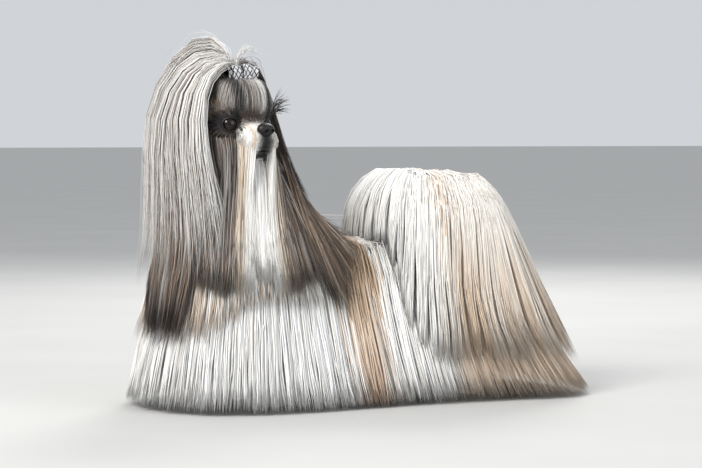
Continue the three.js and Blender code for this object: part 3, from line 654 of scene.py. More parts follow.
def plain_cloth(name, colour, roughness, threads, sheen=0.0):
    """A woven or wound stuff of one colour, with fine threads in its relief and tone."""
    material, nodes, links, shader = new_material(name, {"Roughness": roughness, "Sheen Weight": sheen})
    where = nodes.new("ShaderNodeTexCoord")
    weave = new_node(nodes, "ShaderNodeTexWave", {"Scale": threads, "Distortion": 0.6})
    links.new(where.outputs["UV"], weave.inputs["Vector"])
    tones = colour_scale(nodes, [(0, 0.72 * np.array(colour)), (1, colour)])
    links.new(weave.outputs["Fac"], tones.inputs["Fac"])
    links.new(tones.outputs["Color"], shader.inputs["Base Color"])
    raise_by(nodes, links, shader, weave.outputs["Fac"], 0.4, 0.2)
    return material, nodes, links, shader, tones


def lay_uv(piece, shares):
    """Gives each vertex of a piece its own place on the flat stuff."""
    layer = piece.data.uv_layers.new(name="Stuff")
    corners = np.empty(len(piece.data.loops), int)
    piece.data.loops.foreach_get("vertex_index", corners)
    layer.data.foreach_set("uv", np.asarray(shares, np.float32)[corners].ravel())


def elastic_form():
    TURNS, STEPS, SIDES, THREADS = 3, 150, 10, 40
    turn = np.linspace(0, 2 * math.pi * TURNS, STEPS)
    layer = np.linspace(-1, 1, STEPS)
    line = np.stack([np.cos(turn) * (KNOT_R + 0.4 * np.sin(3 * turn)), np.sin(turn) * KNOT_R,
                     1.9 * layer + 0.5 * np.sin(2 * turn + 1)], -1)
    points, faces = tube(on_head(line + KNOT_AT), lambda u: (1.5 + 0 * u, 1.3 + 0 * u), SIDES, STEPS * 2)
    rounds = len(points) // SIDES
    run = np.repeat(np.linspace(0, THREADS, rounds), SIDES)
    return points, faces, np.stack([run, np.tile(np.arange(SIDES) / SIDES, rounds)], -1)


points, faces, shares = elastic_form()
elastic = mesh_piece("bow_elastic", points, faces)
lay_uv(elastic, shares)
elastic.data.materials.append(plain_cloth("black elastic", (0.012, 0.012, 0.015), 0.6, 3.0)[0])
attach(elastic, "root")
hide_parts("bow_band")


def ribbon_loop(number):
    """A closed loop of ribbon with a thickness: its seam lies behind, against the elastic."""
    AROUND, ACROSS, THICK = 64, 14, 0.5
    side = number - 2
    at = KNOT_AT + [16.2 - abs(side) * 3, 2 + side * LOOP_APART, -2 if side else 0]
    lean = unit(np.array([0, side * 0.2, 1.0]))
    turn = np.linspace(0, 2 * math.pi, AROUND, endpoint=False)
    shares = np.linspace(-1, 1, ACROSS + 1)
    rows, flat = [], []
    for inner in (0, 1):
        for share in shares if not inner else shares[::-1]:
            flare = 1 + 0.06 * abs(share) ** 2
            pinch = 1 - 0.2 * (1 - abs(share))
            long = (LOOP_LONG - inner * THICK) * flare
            deep = (LOOP_DEEP - inner * THICK) * pinch
            waver = 0.35 * math.sin(3.1 * share + side)
            row = np.outer(np.cos(turn) * long, lean) + np.outer(np.sin(turn) * deep + waver, [1, 0, 0])
            row = row + at + np.array([0, share * LOOP_WIDE / 2 * (1 + 0.06 * side), 0])
            rows.append(row)
            flat.append(np.stack([turn / (2 * math.pi) * PATTERN_ROUND, 0 * turn + share], -1))
    points = np.concatenate(rows)
    faces = grid_faces(len(rows), AROUND)
    last = (len(rows) - 1) * AROUND
    faces += [(last + k, last + (k + 1) % AROUND, (k + 1) % AROUND, k) for k in range(AROUND)]
    return on_head(points), faces, np.concatenate(flat)


ribbon, nodes, links, shader, ribbon_tones = plain_cloth(
    "white ribbon with black lattice", (0.92, 0.92, 0.94), 0.5, 14.0, 0.3)
lie_of_ribbon = nodes.new("ShaderNodeTexCoord")
apart = nodes.new("ShaderNodeSeparateXYZ")
links.new(lie_of_ribbon.outputs["UV"], apart.inputs["Vector"])


def reckon(operation, first, second=None):
    """One step of sums on places of the ribbon, or on plain numbers."""
    step = nodes.new("ShaderNodeMath")
    step.operation = operation
    for socket, value in zip(step.inputs, (first, second)):
        if isinstance(value, (int, float)):
            socket.default_value = value
        elif value is not None:
            links.new(value, socket)
    return step.outputs[0]


LATTICE = 7.0
LATTICE_SLANT = 0.8
LATTICE_OPEN = 0.72
TURN_OPEN = 0.94
lattice = []
for sign in (1, -1):
    lean = reckon("ADD", apart.outputs["X"], reckon("MULTIPLY", apart.outputs["Y"], sign * LATTICE_SLANT))
    wave = reckon("SINE", reckon("MULTIPLY", lean, LATTICE))
    lattice.append(reckon("GREATER_THAN", wave, LATTICE_OPEN))
turned = reckon("MULTIPLY", apart.outputs["X"], 2 * math.pi / PATTERN_ROUND)
bend = reckon("GREATER_THAN", reckon("ABSOLUTE", reckon("COSINE", turned)), TURN_OPEN)
inked = nodes.new("ShaderNodeMix")
inked.data_type = "RGBA"
links.new(reckon("MAXIMUM", reckon("MAXIMUM", *lattice), bend), inked.inputs["Factor"])
links.new(ribbon_tones.outputs["Color"], inked.inputs["A"])
inked.inputs["B"].default_value = (0.012, 0.012, 0.016, 1)
links.new(inked.outputs["Result"], shader.inputs["Base Color"])
for number in (1, 2, 3):
    points, faces, shares = ribbon_loop(number)
    loop = mesh_piece(f"ribbon_loop_{number}", points, faces)
    lay_uv(loop, shares)
    loop.data.materials.append(ribbon)
    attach(loop, "root")
    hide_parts(f"bow_loop_{number}")

# Coat of the body
# Long, straight, silky hair that parts along the spine and hangs to the floor. Each strand is a
# thin tapered blade rooted in the skin; strands lie in layers and draw together in locks.
HAIR_PATCH = 0.003
DARKEST, PALEST = 0.002, 0.93
silk, nodes, links, shader, markings = marked_material("silky hair", {
    "Roughness": 0.46, "Sheen Weight": 0.12, "Sheen Roughness": 0.4, "Specular IOR Level": 0.42})
# Fine lines along each strand, in its tone and relief
lie = nodes.new("ShaderNodeUVMap")
lie.uv_map = "Strand"
stretch = new_node(nodes, "ShaderNodeMapping", {"Scale": (9.0, 0.8, 1.0)})
links.new(lie.outputs["UV"], stretch.inputs["Vector"])
fine_lines = new_node(nodes, "ShaderNodeTexNoise", {"Scale": 1.0, "Detail": 2})
fine_lines.noise_dimensions = "2D"
links.new(stretch.outputs["Vector"], fine_lines.inputs["Vector"])
light = new_node(nodes, "ShaderNodeMapRange", {
    "From Min": 0.25, "From Max": 0.75, "To Min": 0.84, "To Max": 1.14})
links.new(fine_lines.outputs["Fac"], light.inputs["Value"])
colour_by(nodes, links, shader, markings, light.outputs["Result"])
raise_by(nodes, links, shader, fine_lines.outputs["Fac"], 0.35, 0.3)


def blades(lines, out, wide, patch):
    """Points, faces and the two flat places of thin three-sided blades along lines."""
    count, rows = lines.shape[:2]
    across = np.cross(unit(np.gradient(lines, axis=1)), out)
    t = np.linspace(0, 1, rows)
    # narrow at the root, full from a quarter on, and drawn out to a point over the outer half
    taper = (0.45 + 0.55 * ease(t, 0, 0.25)) * (1 - np.maximum(0, (t - 0.45) / 0.55) ** 2)
    half = np.reshape(wide, (-1, 1, 1)) * taper[None, :, None]
    rings = np.stack([lines - across * half, lines + across * half, lines + out * half * 0.42], 2)[:, :-1]
    points = np.concatenate([rings.reshape(count, -1, 3), lines[:, -1:]], 1)
    points[..., 2] = np.maximum(points[..., 2], 0.4)
    quads = [(3 * i + a, 3 * i + b, 3 * i + 3 + b, 3 * i + 3 + a)
             for i in range(rows - 2) for a, b in ((0, 1), (1, 2), (2, 0))]
    low, tip = 3 * (rows - 2), 3 * (rows - 1)
    threes = [(low, low + 1, tip), (low + 1, low + 2, tip), (low + 2, low, tip), (0, 2, 1)]
    start = np.arange(count)[:, None, None] * (tip + 1)
    corners = [(np.array(some)[None] + start).reshape(count, -1) for some in (quads, threes)]
    corners = np.concatenate(corners, 1).ravel()
    sizes = np.tile([4] * len(quads) + [3] * len(threes), count)
    side = np.concatenate([np.tile([0.0, 1.0, 0.5], rows - 1), [0.5]])
    long = np.concatenate([np.repeat(t[:-1], 3), [1.0]])
    number = np.arange(count)[:, None] * 1.37 % 97
    places = {"OFBake": np.stack([side, long], -1)[None] * HAIR_PATCH + patch[:, None] * (1 - HAIR_PATCH),
              "Strand": np.stack([side + number, long + 0 * number], -1)}
    return points.reshape(-1, 3), corners, sizes, places


def hair(name, lines, wide, tones, patch, seed, locks=None, wavy=0.0, replaced=(),
         middle=(0, 0, 60), keep=None):
    """Strands along lines (count, rows, 3), with their half widths, tones and places on the skin."""
    if keep is not None:
        lines, wide, tones, patch = lines[keep], wide[keep], tones[keep], patch[keep]
        locks = None if locks is None else locks[keep]
    mine = np.random.default_rng(seed + 1)
    count, rows = lines.shape[:2]
    way = unit(np.gradient(lines, axis=1))
    out = lines - np.asarray(middle, float)
    out = unit(out - (out * way).sum(-1, keepdims=True) * way)
    across = np.cross(way, out)
    # the lock bends as one, and each strand a little by itself
    t = np.linspace(0, 1, rows)[None, :]
    together = (locks if locks is not None else np.arange(count))[:, None] * 2.4
    bend = 0.65 * np.sin(5.5 * t + together) + 0.45 * np.sin(8 * t + mine.uniform(0, 6.3, (count, 1)))
    lines = lines + across * (wavy * bend * ease(t, 0.25, 0.8))[..., None]
    tilt = mine.normal(0, 0.2, (count, 1, 1))
    out = unit(out * np.cos(tilt) - across * np.sin(tilt))
    points, corners, sizes, places = blades(lines, out, wide, patch)
    mesh = bpy.data.meshes.new(name)
    mesh.vertices.add(len(points))
    mesh.vertices.foreach_set("co", ((points + SHIFT) * MM).astype(np.float32).ravel())
    mesh.loops.add(len(corners))
    mesh.loops.foreach_set("vertex_index", corners.astype(np.int32))
    mesh.polygons.add(len(sizes))
    mesh.polygons.foreach_set("loop_start", np.concatenate([[0], np.cumsum(sizes)[:-1]]).astype(np.int32))
    mesh.update(calc_edges=True)
    mesh.shade_smooth()
    piece = bpy.data.objects.new(name, mesh)
    bpy.context.scene.collection.objects.link(piece)
    tones = tones * (1 + mine.normal(0, 0.07, (count, 1, 1)))
    tones = np.concatenate([np.repeat(tones[:, :-1], 3, 1), tones[:, -1:]], 1)
    tint(piece, np.clip(tones, DARKEST, PALEST).reshape(-1, 3))
    for title, place in places.items():
        layer = mesh.uv_layers.new(name=title)
        layer.data.foreach_set("uv", place.reshape(-1, 2).astype(np.float32)[corners].ravel())
    piece.data.materials.append(silk)
    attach(piece, "root")
    if replaced:
        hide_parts(*replaced)


def spread_out(count, seed):
    """Pairs of even but unordered shares from 0 to 1."""
    EVEN_STEPS = [0.754877666, 0.569840291]
    start = np.random.default_rng(seed).random(2)
    return ((start + np.arange(count)[:, None] * EVEN_STEPS) % 1.0).T


def times(steps):
    return np.linspace(0, 1, steps + 1)[None, :]


def strands(count, steps, seed):
    """The steps along each strand, the two shares that place its root, and its own chance."""
    return times(steps), *spread_out(count, seed), np.random.default_rng(seed)


def lock_of(value, every, seed=0):
    """The lock that a strand belongs to: where its middle is, its number, and a chance share of its own."""
    SCATTER, SPIN = 12.9898, 43758.5453
    number = np.floor(value / every)
    chance = np.modf(np.abs(np.sin(number * SCATTER + seed) * SPIN))[0]
    return (number + 0.2 + 0.6 * chance) * every, number, chance


def all_along(tone, t):
    """The same colour from root to tip of each strand."""
    return tone[:, None, :] * np.ones((1, t.shape[1], 1))


# Ways round the hem that part it into equal lengths
TICKS = np.linspace(0, 1, 401)
hem_run = np.concatenate([[0], np.cumsum(np.linalg.norm(np.diff(coat_point(TICKS, 1.0), axis=0), axis=1))])
HEM_PARTS = 22
HEM_LOCKS = 110


def body_coat(name, first, last, count, seed):
    t, a, b, mine = strands(count, 6, seed)
    side = np.where(mine.random(count) < 0.5, -1, 1)
    share = (first + a * (last - first)) / HEM_PARTS
    middle, number, chance = lock_of(share, 1 / HEM_LOCKS, seed)
    swept = share[:, None] + (middle - share)[:, None] * (0.1 + 0.35 * chance[:, None]) * ease(t, 0.3, 1)
    swept = swept + 0.0025 * mine.normal(size=(count, 1)) * t
    turn = side[:, None] * np.interp(swept * hem_run[-1], hem_run, TICKS)
    root = 0.04 + 0.52 * b
    short = mine.random(count) < 0.2
    tip_of_short = 0.62 + 0.3 * mine.random(count)
    tip_of_long = 0.94 + 0.06 * mine.random(count) ** 0.5 - 0.02 * chance
    tip = np.where(short, tip_of_short, tip_of_long)
    down = root[:, None] + (tip - root)[:, None] * t
    depth = mix(-11.0, 1.5, mine.random(count) ** 0.8) - 2.0 * chance
    lines = coat_point(turn, down, mix(-SKIN_DEPTH - 3, depth[:, None], ease(t, 0, 0.24)))
    seen = lines.copy()
    seen[..., 0] += mine.normal(0, 7, (count, 1))
    # painted shade: the coat is drawn darker near the parting, down to 0.72 of its colour, and a little
    # brighter than its colour from halfway down its fall
    tones = body_markings(seen) * mix(0.72, 1.05, ease(down, 0.1, 0.5))[..., None]
    patch = np.stack([0.5 + 0.5 * turn[:, 0], root], -1)
    hair(name, lines, mine.uniform(0.8, 1.6, count), tones, patch, seed, number, 2.2)


for name, first, last, count, slot, seed in (
        ("coat_of_chest", 0, 8, 3100, "coat_white", 11),
        ("coat_of_flanks", 8, 14, 2400, "coat_gold", 12),
        ("coat_of_rump", 14, 18.5, 2100, "coat_gold", 13),
        ("coat_of_breeches", 18.5, HEM_PARTS, 1900, "coat_gold", 14)):
    body_coat(name, first, last, count, seed)

# Ruff
# The mane of the neck, which falls on the breast, the shoulders and the withers, over the coat
# of the body and under the long hair of the head.
RUFF_FALL = [(0, 30), (0.1, 44), (0.24, 58), (0.4, 74), (0.56, 90), (0.72, 103), (0.87, 112), (1, 120)]
RUFF_X = 138
RUFF_TOP = 340
RUFF_FOOT = 100
LEVEL_STEP = 4.0
LEVELS = np.arange(0, BACK_Z + LEVEL_STEP, LEVEL_STEP)
HEADING_PARTS = 240
HEADINGS = np.linspace(-math.pi, math.pi, HEADING_PARTS + 1)
JUST_SHORT = 0.001


def coat_outlines(upright):
    """How far the body's coat stands out from an upright, by height and heading."""
    ROUND, HALVINGS = 192, 10
    turn = np.linspace(-1, 1, ROUND + 1)
    high, low = np.full((len(LEVELS), ROUND + 1), 0.02), np.ones((len(LEVELS), ROUND + 1))
    for _ in range(HALVINGS):
        half = (high + low) / 2
        above = coat_point(turn[None], half)[..., 2] > LEVELS[:, None]
        high, low = np.where(above, half, high), np.where(above, low, half)
    at = coat_point(turn[None], low) - [upright, 0, 0]
    heading, reach = np.arctan2(at[..., 1], at[..., 0]), np.hypot(at[..., 0], at[..., 1])
    table = np.zeros((len(LEVELS), len(HEADINGS)))
    for i in range(ROUND):
        h0, h1 = heading[:, i:i + 1], heading[:, i + 1:i + 2]
        r0, r1 = reach[:, i:i + 1], reach[:, i + 1:i + 2]
        between = ((h0 - HEADINGS) * (h1 - HEADINGS) <= 0) & (np.abs(h0 - h1) < 1)
        width = np.where(np.abs(h1 - h0) < 1e-9, 1e-9, h1 - h0)
        table = np.maximum(table, np.where(between, r0 + (r1 - r0) * (HEADINGS - h0) / width, 0))
    return table


def coat_reach(table, heading, z):
    """Looks up how far the body's coat stands out at a heading and height."""
    row = np.clip(z / LEVEL_STEP, 0, len(LEVELS) - 1 - JUST_SHORT)
    column = (heading + math.pi) / (2 * math.pi) * (HEADING_PARTS - JUST_SHORT)
    i, j = row.astype(int), column.astype(int)
    u, v = row - i, column - j
    reach = (table[i, j] * (1 - u) + table[i + 1, j] * u) * (1 - v)
    return np.where(z > BACK_Z, 0, reach + (table[i, j + 1] * (1 - u) + table[i + 1, j + 1] * u) * v)


round_the_ruff = coat_outlines(RUFF_X)


def ruff_point(degrees, z, lift=0.0):
    degrees, z, lift = np.broadcast_arrays(*(np.asarray(v, float) for v in (degrees, z, lift)))
    heading = np.arctan2(np.sin(np.radians(degrees)), np.cos(np.radians(degrees)))
    q = np.clip((RUFF_TOP - z) / (RUFF_TOP - RUFF_FOOT), 0, 1)
    face = 1 - 0.1 * np.maximum(0, np.cos(heading - math.radians(95))) ** 4
    swell = along(RUFF_FALL, q, True)[..., 1] * (1 + 0.1 * np.maximum(0, np.cos(heading))) * face
    reach = np.maximum(swell, coat_reach(round_the_ruff, heading, z) + 7) + lift
    axis = mix(RUFF_X + 20, RUFF_X, ease(q, 0, 0.4))
    return np.stack([axis + reach * np.cos(heading), reach * np.sin(heading), z], -1)


def ruff_coat(name, count, seed):
    t, a, b, mine = strands(count, 6, seed)
    degrees = -180 + 360 * a
    behind = ease(np.abs(degrees), 100, 165)
    under = ease(-np.abs(degrees - 88), -45, -20)
    foot = mix(mix(96, 243, behind), 140, under * (1 - behind)) + 34 * (mine.random(count) - 0.5)
    top = mix(300, 258, under) - 60 * b
    middle, number, _ = lock_of(degrees, 4.0, seed)
    swept = mix(degrees[:, None], middle[:, None], 0.5 * ease(t, 0.3, 1))
    swept = swept + mine.normal(0, 1.4, (count, 1)) * t
    z = top[:, None] + (foot - top)[:, None] * t
    lines = ruff_point(swept, z, mix(-16, mix(-6.0, 3.5, mine.random((count, 1))), ease(t, 0, 0.2)))
    near = np.cos(np.radians(degrees - 20))
    tone = paint(WHITE, GOLD, 0.6 * (mine.random(count) < 0.3 + 0.3 * near))
    tones = paint(all_along(tone, t), RUST, 0.45 * ease(-z, -150, -100) * (mine.random((count, 1)) < 0.35))
    patch = np.stack([0.5 + degrees / 360, 0.2 + 0.4 * b], -1)
    hair(name, lines, mine.uniform(0.8, 1.5, count), tones, patch, seed, number, 2.5,
         middle=(RUFF_X + 10, 0, 240))


ruff_coat("coat_of_neck", 2000, 21)

# Long hair of the head
# As long as the coat on ears, cheeks, lips and chin. It leaves the skin sideways, turns down over
# the hair beneath it, and hangs as one veil outside the ruff.
VEIL = 9
SKULL_UPRIGHT = (RUFF_X + 8, 0, 250)


def clear_of_eyes(lines):
    """Which strands keep off the openings of the eyes."""
    clear = np.ones(len(lines), bool)
    for side in (1, -1):
        eye, gaze, across = eye_sight(side)
        away = in_head(lines) - eye
        clear &= ~((opening_share(away, across) < 1.08) & (away @ gaze > -2)).any(1)
    return clear


def falls(t, root, out, degrees, foot, lift, drift=0.0):
    """Lines that leave a root, pass a point outside it, and hang down the veil to a foot."""
    top = out[:, 2] - 35
    aside = out + unit((out - HEAD_AT) * [1, 1, 0]) * lift[:, None]
    hang = [ruff_point(degrees + drift * share, mix(top, foot, share), VEIL + lift)
            for share in (0.25, 0.6, 1.0)]
    lines = along(np.stack([root, aside] + hang, 1), t + np.zeros((len(root), 1)))
    for _ in range(3):
        lines[:, 1:-1] = (lines[:, :-2] + 2 * lines[:, 1:-1] + lines[:, 2:]) / 4
    return lines


def ear_coat(side, count, seed):
    t, a, b, mine = strands(count, 7, seed)
    turn = mix(-0.6, math.pi + 0.6, a)
    inward = b ** 0.5
    root = on_head(np.stack([-8 + 17 * np.cos(turn) * inward, side * (62 - 3 * inward + 0 * turn),
                             -14 - 22 * np.sin(turn) * inward], -1))
    puff = 96 if side > 0 else 84
    lift = mine.uniform(-6.5, 5, count)
    ahead = mix(30, -46, a) * (0.75 + 0.25 * inward) + mine.normal(0, 1, count)
    up = mine.normal(-60, 4, count) - 12 * np.sin(turn)
    out = on_head(np.stack([ahead, side * (puff - 14 + 14 * inward), up], -1))
    middle, number, chance = lock_of(a, 1 / 36, seed)
    tips = mix(a, middle, 0.3 + 0.4 * chance) + mine.normal(0, 0.006, count)
    degrees = mix(31, -38, tips) if side > 0 else mix(123, 212, tips)
    far = np.abs(np.where(degrees > 180, 360 - degrees, degrees))
    foot = mix(96, 155, ease(a, 0.6, 1)) if side > 0 else mix(118, 250, ease(far, 128, 165))
    foot = foot + 18 * (chance - 0.5) + 16 * (mine.random(count) - 0.4) + 70 * (mine.random(count) < 0.15)
    lines = falls(t, root, out, degrees, foot, lift, mix(-3, 32, a) if side > 0 else 0.0)
    tone = paint(TAUPE, SILVER, 0.8 * ease(np.sin(number * 1.9 + 40 * a), 0.2, 0.8))
    tone = paint(tone, SMOKE, 0.85 * ease(np.sin(number * 2.7 + 1), 0.1, 0.7))
    warm_edge = 0.7 * ease(a, 0.88, 0.99) if side > 0 else 0
    tone = paint(tone, GOLD, 0.55 * (mine.random(count) < 0.1) + warm_edge)
    dark = 0.85 * ease(-lines[..., 2], -190, -120) * ease(chance, 0.1, 0.5)[:, None]
    tones = paint(all_along(tone, t), BLACK, dark * (1 - ease(a, 0.7, 0.95))[:, None])
    name = "right" if side > 0 else "left"
    patch = np.stack([0.1 + 0.35 * a + (0.5 if side > 0 else 0), 0.1 + 0.2 * inward], -1)
    hair(f"hair_of_{name}_ear", lines, mine.uniform(0.7, 1.4, count), tones, patch,
         seed, number, 3.0, [f"ear_{name}"], SKULL_UPRIGHT)


ear_coat(1, 2800, 31)
ear_coat(-1, 1700, 32)


def cheek_coat(count, seed):
    t, a, b, mine = strands(count, 7, seed)
    side = np.where(mine.random(count) < 0.55, 1, -1)
    i = mix(-0.6, 3.3, a)
    root = on_head(toward(np.stack([8 + 11 * i, side * 44, -4 - 7 * i - 22 * b], -1), -3))
    puff = np.stack([8 + 11 * i, side * 46, -16 - 7 * i - 24 * b], -1)
    out = on_head(toward(puff, mine.uniform(3.0, 8.0, count)))
    middle, number, chance = lock_of(i, 0.1, seed)
    degrees = mix(i, middle, 0.5)
    degrees = np.where(side > 0, 36 + 6.5 * degrees, 119 - 7.5 * degrees) + mine.normal(0, 1.2, count)
    foot = 140 + 14 * chance + 14 * mine.random(count) + 50 * (mine.random(count) < 0.2)
    lines = falls(t, root, out, degrees, foot, mine.uniform(-5, 4, count))
    streaks = np.sin(number * 2.2 + side) + mine.normal(0, 0.35, count)
    tone = paint(TAUPE, BLACK, 0.9 * ease(streaks, 0, 0.7))
    tone = paint(tone, SILVER, 0.55 * ease(np.sin(number * 3.7 - side), 0.3, 0.8))
    tone = paint(tone, GOLD, 0.4 * (mine.random(count) < 0.12))
    patch = np.stack([0.3 + 0.1 * i + 0.4 * (side > 0), 0.4 + 0.1 * b], -1)
    hair("hair_of_cheeks", lines, mine.uniform(0.55, 1.1, count), all_along(tone, t), patch,
         seed, number, 2.5, (), SKULL_UPRIGHT, clear_of_eyes(lines))


cheek_coat(2200, 33)


def moustache_coat(side, count, seed):
    t, a, b, mine = strands(count, 7, seed)
    i = mix(-0.5, 4.8, a)
    root = on_head(toward(np.stack([62 - 6 * i, side * (13 + 5 * i), -24 - 18 * b], -1), -2.5))
    out = on_head(np.stack([72 - 4.6 * i - 6 * b, side * (18 + 5.4 * i + 2 * b), -40 - 3 * i - 14 * b], -1))
    middle, number, chance = lock_of(i, 0.1, seed)
    degrees = mix(i, middle, 0.5)
    degrees = (66 - 4.6 * degrees if side > 0 else 86 + 4 * degrees) + mine.normal(0, 1.2, count)
    foot = 134 + 12 * chance + 16 * mine.random(count) + 50 * (mine.random(count) < 0.2)
    lines = falls(t, root, out, degrees, foot, mine.uniform(-5, 4, count))
    streaks = np.sin(number * 2.1 + seed) + mine.normal(0, 0.35, count)
    tone = paint(TAUPE, BLACK, 0.9 * ease(streaks, -0.1, 0.6))
    tone = paint(tone, SILVER, 0.6 * ease(np.sin(number * 3.3 + seed), 0.2, 0.9))
    tone = paint(tone, CREAM, 0.9 * ease(-i, -2.6, -1.8) * (mine.random(count) < 0.8))
    tone = paint(tone, GOLD, 0.4 * ease(-i, -2.4, -1.9) * (mine.random(count) < 0.16))
    tone = paint(tone, WHITE, 0.95 * ease(-i, -1.3, -0.3))
    name = "right" if side > 0 else "left"
    patch = np.stack([0.3 + 0.1 * i / 4 + 0.4 * (side > 0), 0.55 + 0.1 * b], -1)
    hair(f"moustache_of_{name}_lip", lines, mine.uniform(0.45, 0.95, count), all_along(tone, t), patch,
         seed, number, 2.2, [f"moustache_{name}"], SKULL_UPRIGHT, clear_of_eyes(lines))


for side in (1, -1):
    moustache_coat(side, 1550, 35 + side)


def beard_coat(count, seed):
    t, a, b, mine = strands(count, 7, seed)
    across = mix(-1.2, 1.2, a)
    root = on_head(toward(np.stack([56 + 6 * b, across * 13, -56 - 10 * (1 - b)], -1), -3))
    out = on_head(np.stack([65 + 4 * b, 3 + across * 15, -72 - 8 * (1 - b)], -1))
    middle, number, chance = lock_of(across, 0.2, seed)
    degrees = 76 - 7 * mix(across, middle, 0.6) + mine.normal(0, 1.1, count)
    foot = 150 + 10 * np.abs(across) + 12 * chance + 14 * mine.random(count)
    lines = falls(t, root, out, degrees, foot, mine.uniform(-5, 3, count))
    tone = paint(WHITE, SILVER, 0.7 * ease(np.sin(number * 2.9), 0.1, 0.7))
    patch = np.stack([0.45 + 0.05 * across, 0.6 + 0.05 * b], -1)
    hair("beard_of_chin", lines, mine.uniform(0.45, 0.95, count), all_along(tone, t), patch,
         seed, number, 2.2, ["beard"], SKULL_UPRIGHT)


beard_coat(1400, 37)

# Short hair of the head
# Drawn up from brow, temples and crown into the elastic, in a soft dome; very short on the muzzle
# and round the eyes, where it grows away from the nose and the lids.
def drawn_up(count, seed):
    t, a, b, mine = strands(count, 6, seed)
    middle, number, chance = lock_of(a, 1 / 160, seed)
    turn = 2 * math.pi * mix(a, middle, 0.3)
    share = mix((1.1 * b - 0.4)[:, None], 0.985, t)
    cos, sin = np.cos(turn)[:, None], np.sin(turn)[:, None]
    bow = 2.6 * np.sin(math.pi * np.maximum(share, 0)) * np.sin(5 * turn + 6 * chance)[:, None]
    aim = np.stack([mix(22 + 40 * cos, KNOT_AT[0] + 9 * cos, share), mix(43, 7.5, share) * sin + bow * cos,
                    mix(8 + 8 * sin**2, 45, share)], -1)
    dome = 1.5 * np.sin(math.pi * np.maximum(share, 0)) * ease(cos, -0.2, 0.5)
    stand = mix(-3, mine.uniform(0.6, 5.0, (count, 1)), ease(t, 0, 0.12))
    stand = stand * mix(1, 0.15, ease(share, 0.45, 0.85)) + dome
    lines = on_head(toward(aim, 0.0) + unit(aim - HEAD_MIDDLE) * stand[..., None])
    tones = head_markings(in_head(lines))
    tones = paint(tones, CREAM, 0.9 * ease(-cos, 0.3, 0.7) * np.ones_like(share))
    patch = np.stack([a, 0.7 + 0.25 * b], -1)
    hair("hair_of_brow_and_crown", lines, mine.uniform(0.3, 0.6, count), tones, patch,
         seed, number, 0.8, (), on_head([10, 0, -10]), clear_of_eyes(lines))


drawn_up(4600, 38)


def short_face(count, seed):
    WIDEST_TILT = 1.75
    t, f, s, mine = strands(count, 4, seed)
    tilt = np.arccos(1 - f * (1 - math.cos(WIDEST_TILT)))
    turn = 2 * math.pi * s
    way = np.stack([np.cos(tilt), np.sin(tilt) * np.cos(turn), np.sin(tilt) * np.sin(turn)], -1)
    base = on_skin(HEAD_MIDDLE, way)
    normal = unit(base - HEAD_MIDDLE * [1.6, 0.4, 1])
    away = base - (NOSE_AT + [-6, 0, 4])
    for side in (1, -1):
        from_eye = base - eye_sight(side)[0]
        near = np.exp(-((np.linalg.norm(from_eye, axis=-1) - EYE_R) / 9.0) ** 2)
        away = away + unit(from_eye) * near[:, None] * 40
    away = away + np.array([0, 0, -1.0]) * 34 * ease(-base[:, 2], 12, 26)[:, None]
    lie = unit(away - (away * normal).sum(-1, keepdims=True) * normal)
    far = np.linalg.norm(base - NOSE_AT, axis=-1)
    near_eye = np.min([np.linalg.norm(base - eye_sight(side)[0], axis=-1) for side in (1, -1)], 0)
    long = mix(5.0, 17.0, ease(far, 12, 55)) * mix(0.55, 1, ease(near_eye, 12, 26))
    long = (long + 14 * ease(-base[:, 2], 34, 52)) * mine.uniform(0.75, 1.25, count)
    stand = mix(-1.6, mine.uniform(0.9, 2.6, (count, 1)), ease(t, 0, 0.4))[..., None]
    lines = base[:, None] + lie[:, None] * (long[:, None] * t)[..., None]
    # hold the strand to the skin that it runs over
    lines = mix(lines + normal[:, None] * stand, toward(lines, 0.0) + unit(lines - HEAD_MIDDLE) * stand, 0.9)
    lines = lines - (0.12 * long[:, None] * t**2)[..., None] * [0, 0, 1]
    off_nose = np.linalg.norm((base - NOSE_AT - [2, 0, 0]) / [1.3, 1.6, 1.15], axis=-1) > 8.6
    bare_lip = (np.abs(base[:, 1]) < 5.5) & (base[:, 2] < -28) & (base[:, 2] > -54) & (base[:, 0] > 50)
    tones = head_markings(lines[:, :1]) * np.ones((1, t.shape[1], 1))
    lines = on_head(lines)
    keep = off_nose & ~bare_lip & (np.abs(base[:, 1]) < 46) & clear_of_eyes(lines)
    patch = np.stack([s, 0.5 * f], -1)
    hair("short_hair_of_face", lines, mine.uniform(0.3, 0.55, count), tones, patch,
         seed, None, 0.3, (), on_head([20, 0, -14]), keep)


short_face(5000, 39)

